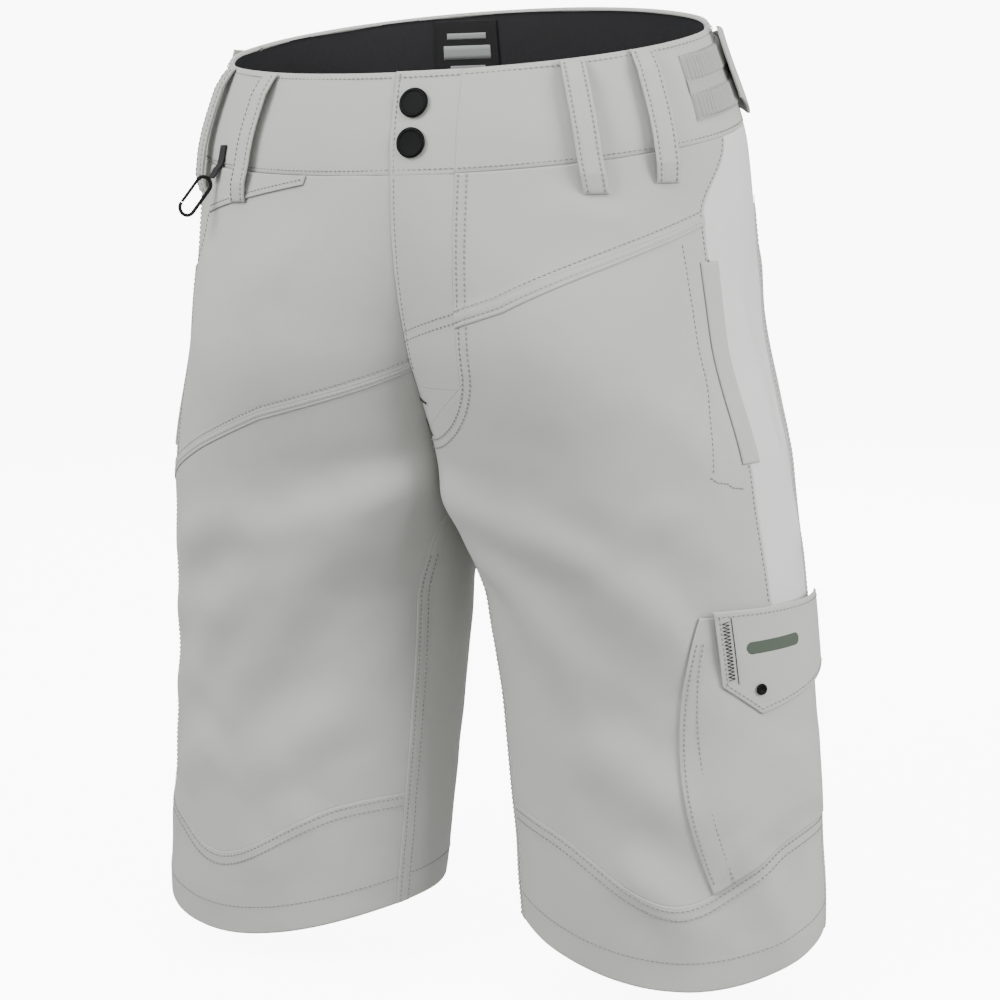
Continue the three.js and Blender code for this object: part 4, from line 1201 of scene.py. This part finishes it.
# Cargo pocket and flap.
for off, more, lift in ((2.4, 0, 0.35), (6, 9, 0.9)):
    sewDown("shorts", 1, (flapZ - 20, float(kneeSeam(-60.0)) + 10, 120), lambda z: (
        cargoEdge(z) + (off + more * ease((flapZ - z) / 150)) / degreeSize(cargoEdge(z), z)), bodyLift + lift)
turns = flapFront + 1.4, body["outseam"] + 2.6, 90
for line, off in ((flapBottom, 3.0), (constant(flapZ), -3)):
    sewAlong("cargo_flap", 1, turns, line, off, flapLift + sewn["flat"])
heights = flapZ - 4, flapZ - 44, 40
sewDown("cargo_flap", 1, heights, constant(flapFront + 1.5), flapLift + sewn["flat"])
zig = np.arange(34)
zigZ = mix(flapZ - 6, flapZ - 42, zig / 33)
stitch("cargo_flap", 1, -46.6 + 1.1 * (-1.0) ** zig, zigZ, flapLift + 0.3, "darkThread")
sewDown("cargo_flap", 1, heights, constant(-44.4), flapLift + 0.25, "darkThread")
# Key pocket.
sewAlong("shorts", -1, (-42, -74, 60), keyPocketEdge, 3, facingLift + 0.3)
sewDown("shorts", -1, (-106, -172, 50), lambda z: -39 - 8 * ease((-140 - z) / 40), sewn["flat"])
sewAll()


# The stage, in metres: a pale floor that curves up into a backdrop.
studio = {
    "below": 0.02, "front": -16, "bend": 3.2, "bendRadius": 1.6, "wall": 4.8, "halfWide": 16, "world": 0.58,
}
lowest = startBounds[0][2] - studio["below"]
radius = studio["bendRadius"]
stageShape = [(y, 0.0) for y in np.linspace(studio["front"], studio["bend"], 9)]
for bend in np.radians(np.linspace(7.5, 90, 12)):
    stageShape.append((studio["bend"] + radius * math.sin(bend), radius - radius * math.cos(bend)))
stageShape += [(studio["bend"] + radius, radius + z) for z in np.linspace(1.2, studio["wall"], 4)]
stageVertices = [(x, y, lowest + z) for y, z in stageShape for x in (-studio["halfWide"], studio["halfWide"])]
stageFaces = [(2 * k, 2 * k + 1, 2 * k + 3, 2 * k + 2) for k in range(len(stageShape) - 1)]
looks["backdrop"] = Look(
    "backdrop", (0.9, 0.9, 0.9), 0.9, Emission_Color=(1, 1, 1, 1), Emission_Strength=9.0,
).material
backdrop = makeObject("backdrop", np.array(stageVertices) / mm, stageFaces, "backdrop")
backdrop.visible_diffuse = False  # the bright floor throws no light of its own on the cloth
backdrop.visible_glossy = False

# Each lamp's place, size and power.
lamps = {
    "key": ((-0.8, -1.2, 0.75), 0.8, 29), "rim": ((1.8, -0.35, 0.3), 0.9, 37),
    "top": ((0.4, -1.1, 1.9), 1.0, 14), "behind": ((-0.7, 2.1, 1.0), 1.2, 40),
}
for name, (place, size, power) in lamps.items():
    data = bpy.data.lights.new(name, "AREA")
    data.size, data.energy = size, power
    light = bpy.data.objects.new(name, data)
    light.location = place
    light.rotation_mode = "QUATERNION"
    light.rotation_quaternion = (Vector((0, 0, -0.28)) - Vector(place)).to_track_quat("-Z", "Y")
    bpy.context.scene.collection.objects.link(light)
world = bpy.data.worlds.new("studio")
world.use_nodes = True
world.node_tree.nodes["Background"].inputs["Color"].default_value = (1, 1, 1, 1)
world.node_tree.nodes["Background"].inputs["Strength"].default_value = studio["world"]
bpy.context.scene.world = world

# The camera: degrees, millimetres of lens, and metres.
view = {
    "azimuth": 23.4, "elevation": 8.3, "roll": 1.1, "lens": 77.4, "target": (0.0175, 0, -0.2908),
    "away": 1.381,
}
azimuth, elevation, roll = (math.radians(view[name]) for name in ("azimuth", "elevation", "roll"))
sideways = math.cos(elevation)
back = Vector((math.sin(azimuth) * sideways, -math.cos(azimuth) * sideways, math.sin(elevation)))
camera = bpy.data.objects.new("camera", bpy.data.cameras.new("camera"))
camera.data.sensor_width, camera.data.lens = 36, view["lens"]
camera.location = Vector(view["target"]) + back * view["away"]
camera.rotation_mode = "QUATERNION"
camera.rotation_quaternion = (-back).to_track_quat("-Z", "Y")
camera.rotation_quaternion.rotate(Quaternion(back, -roll))
bpy.context.scene.collection.objects.link(camera)
bpy.context.scene.camera = camera
print("stage")
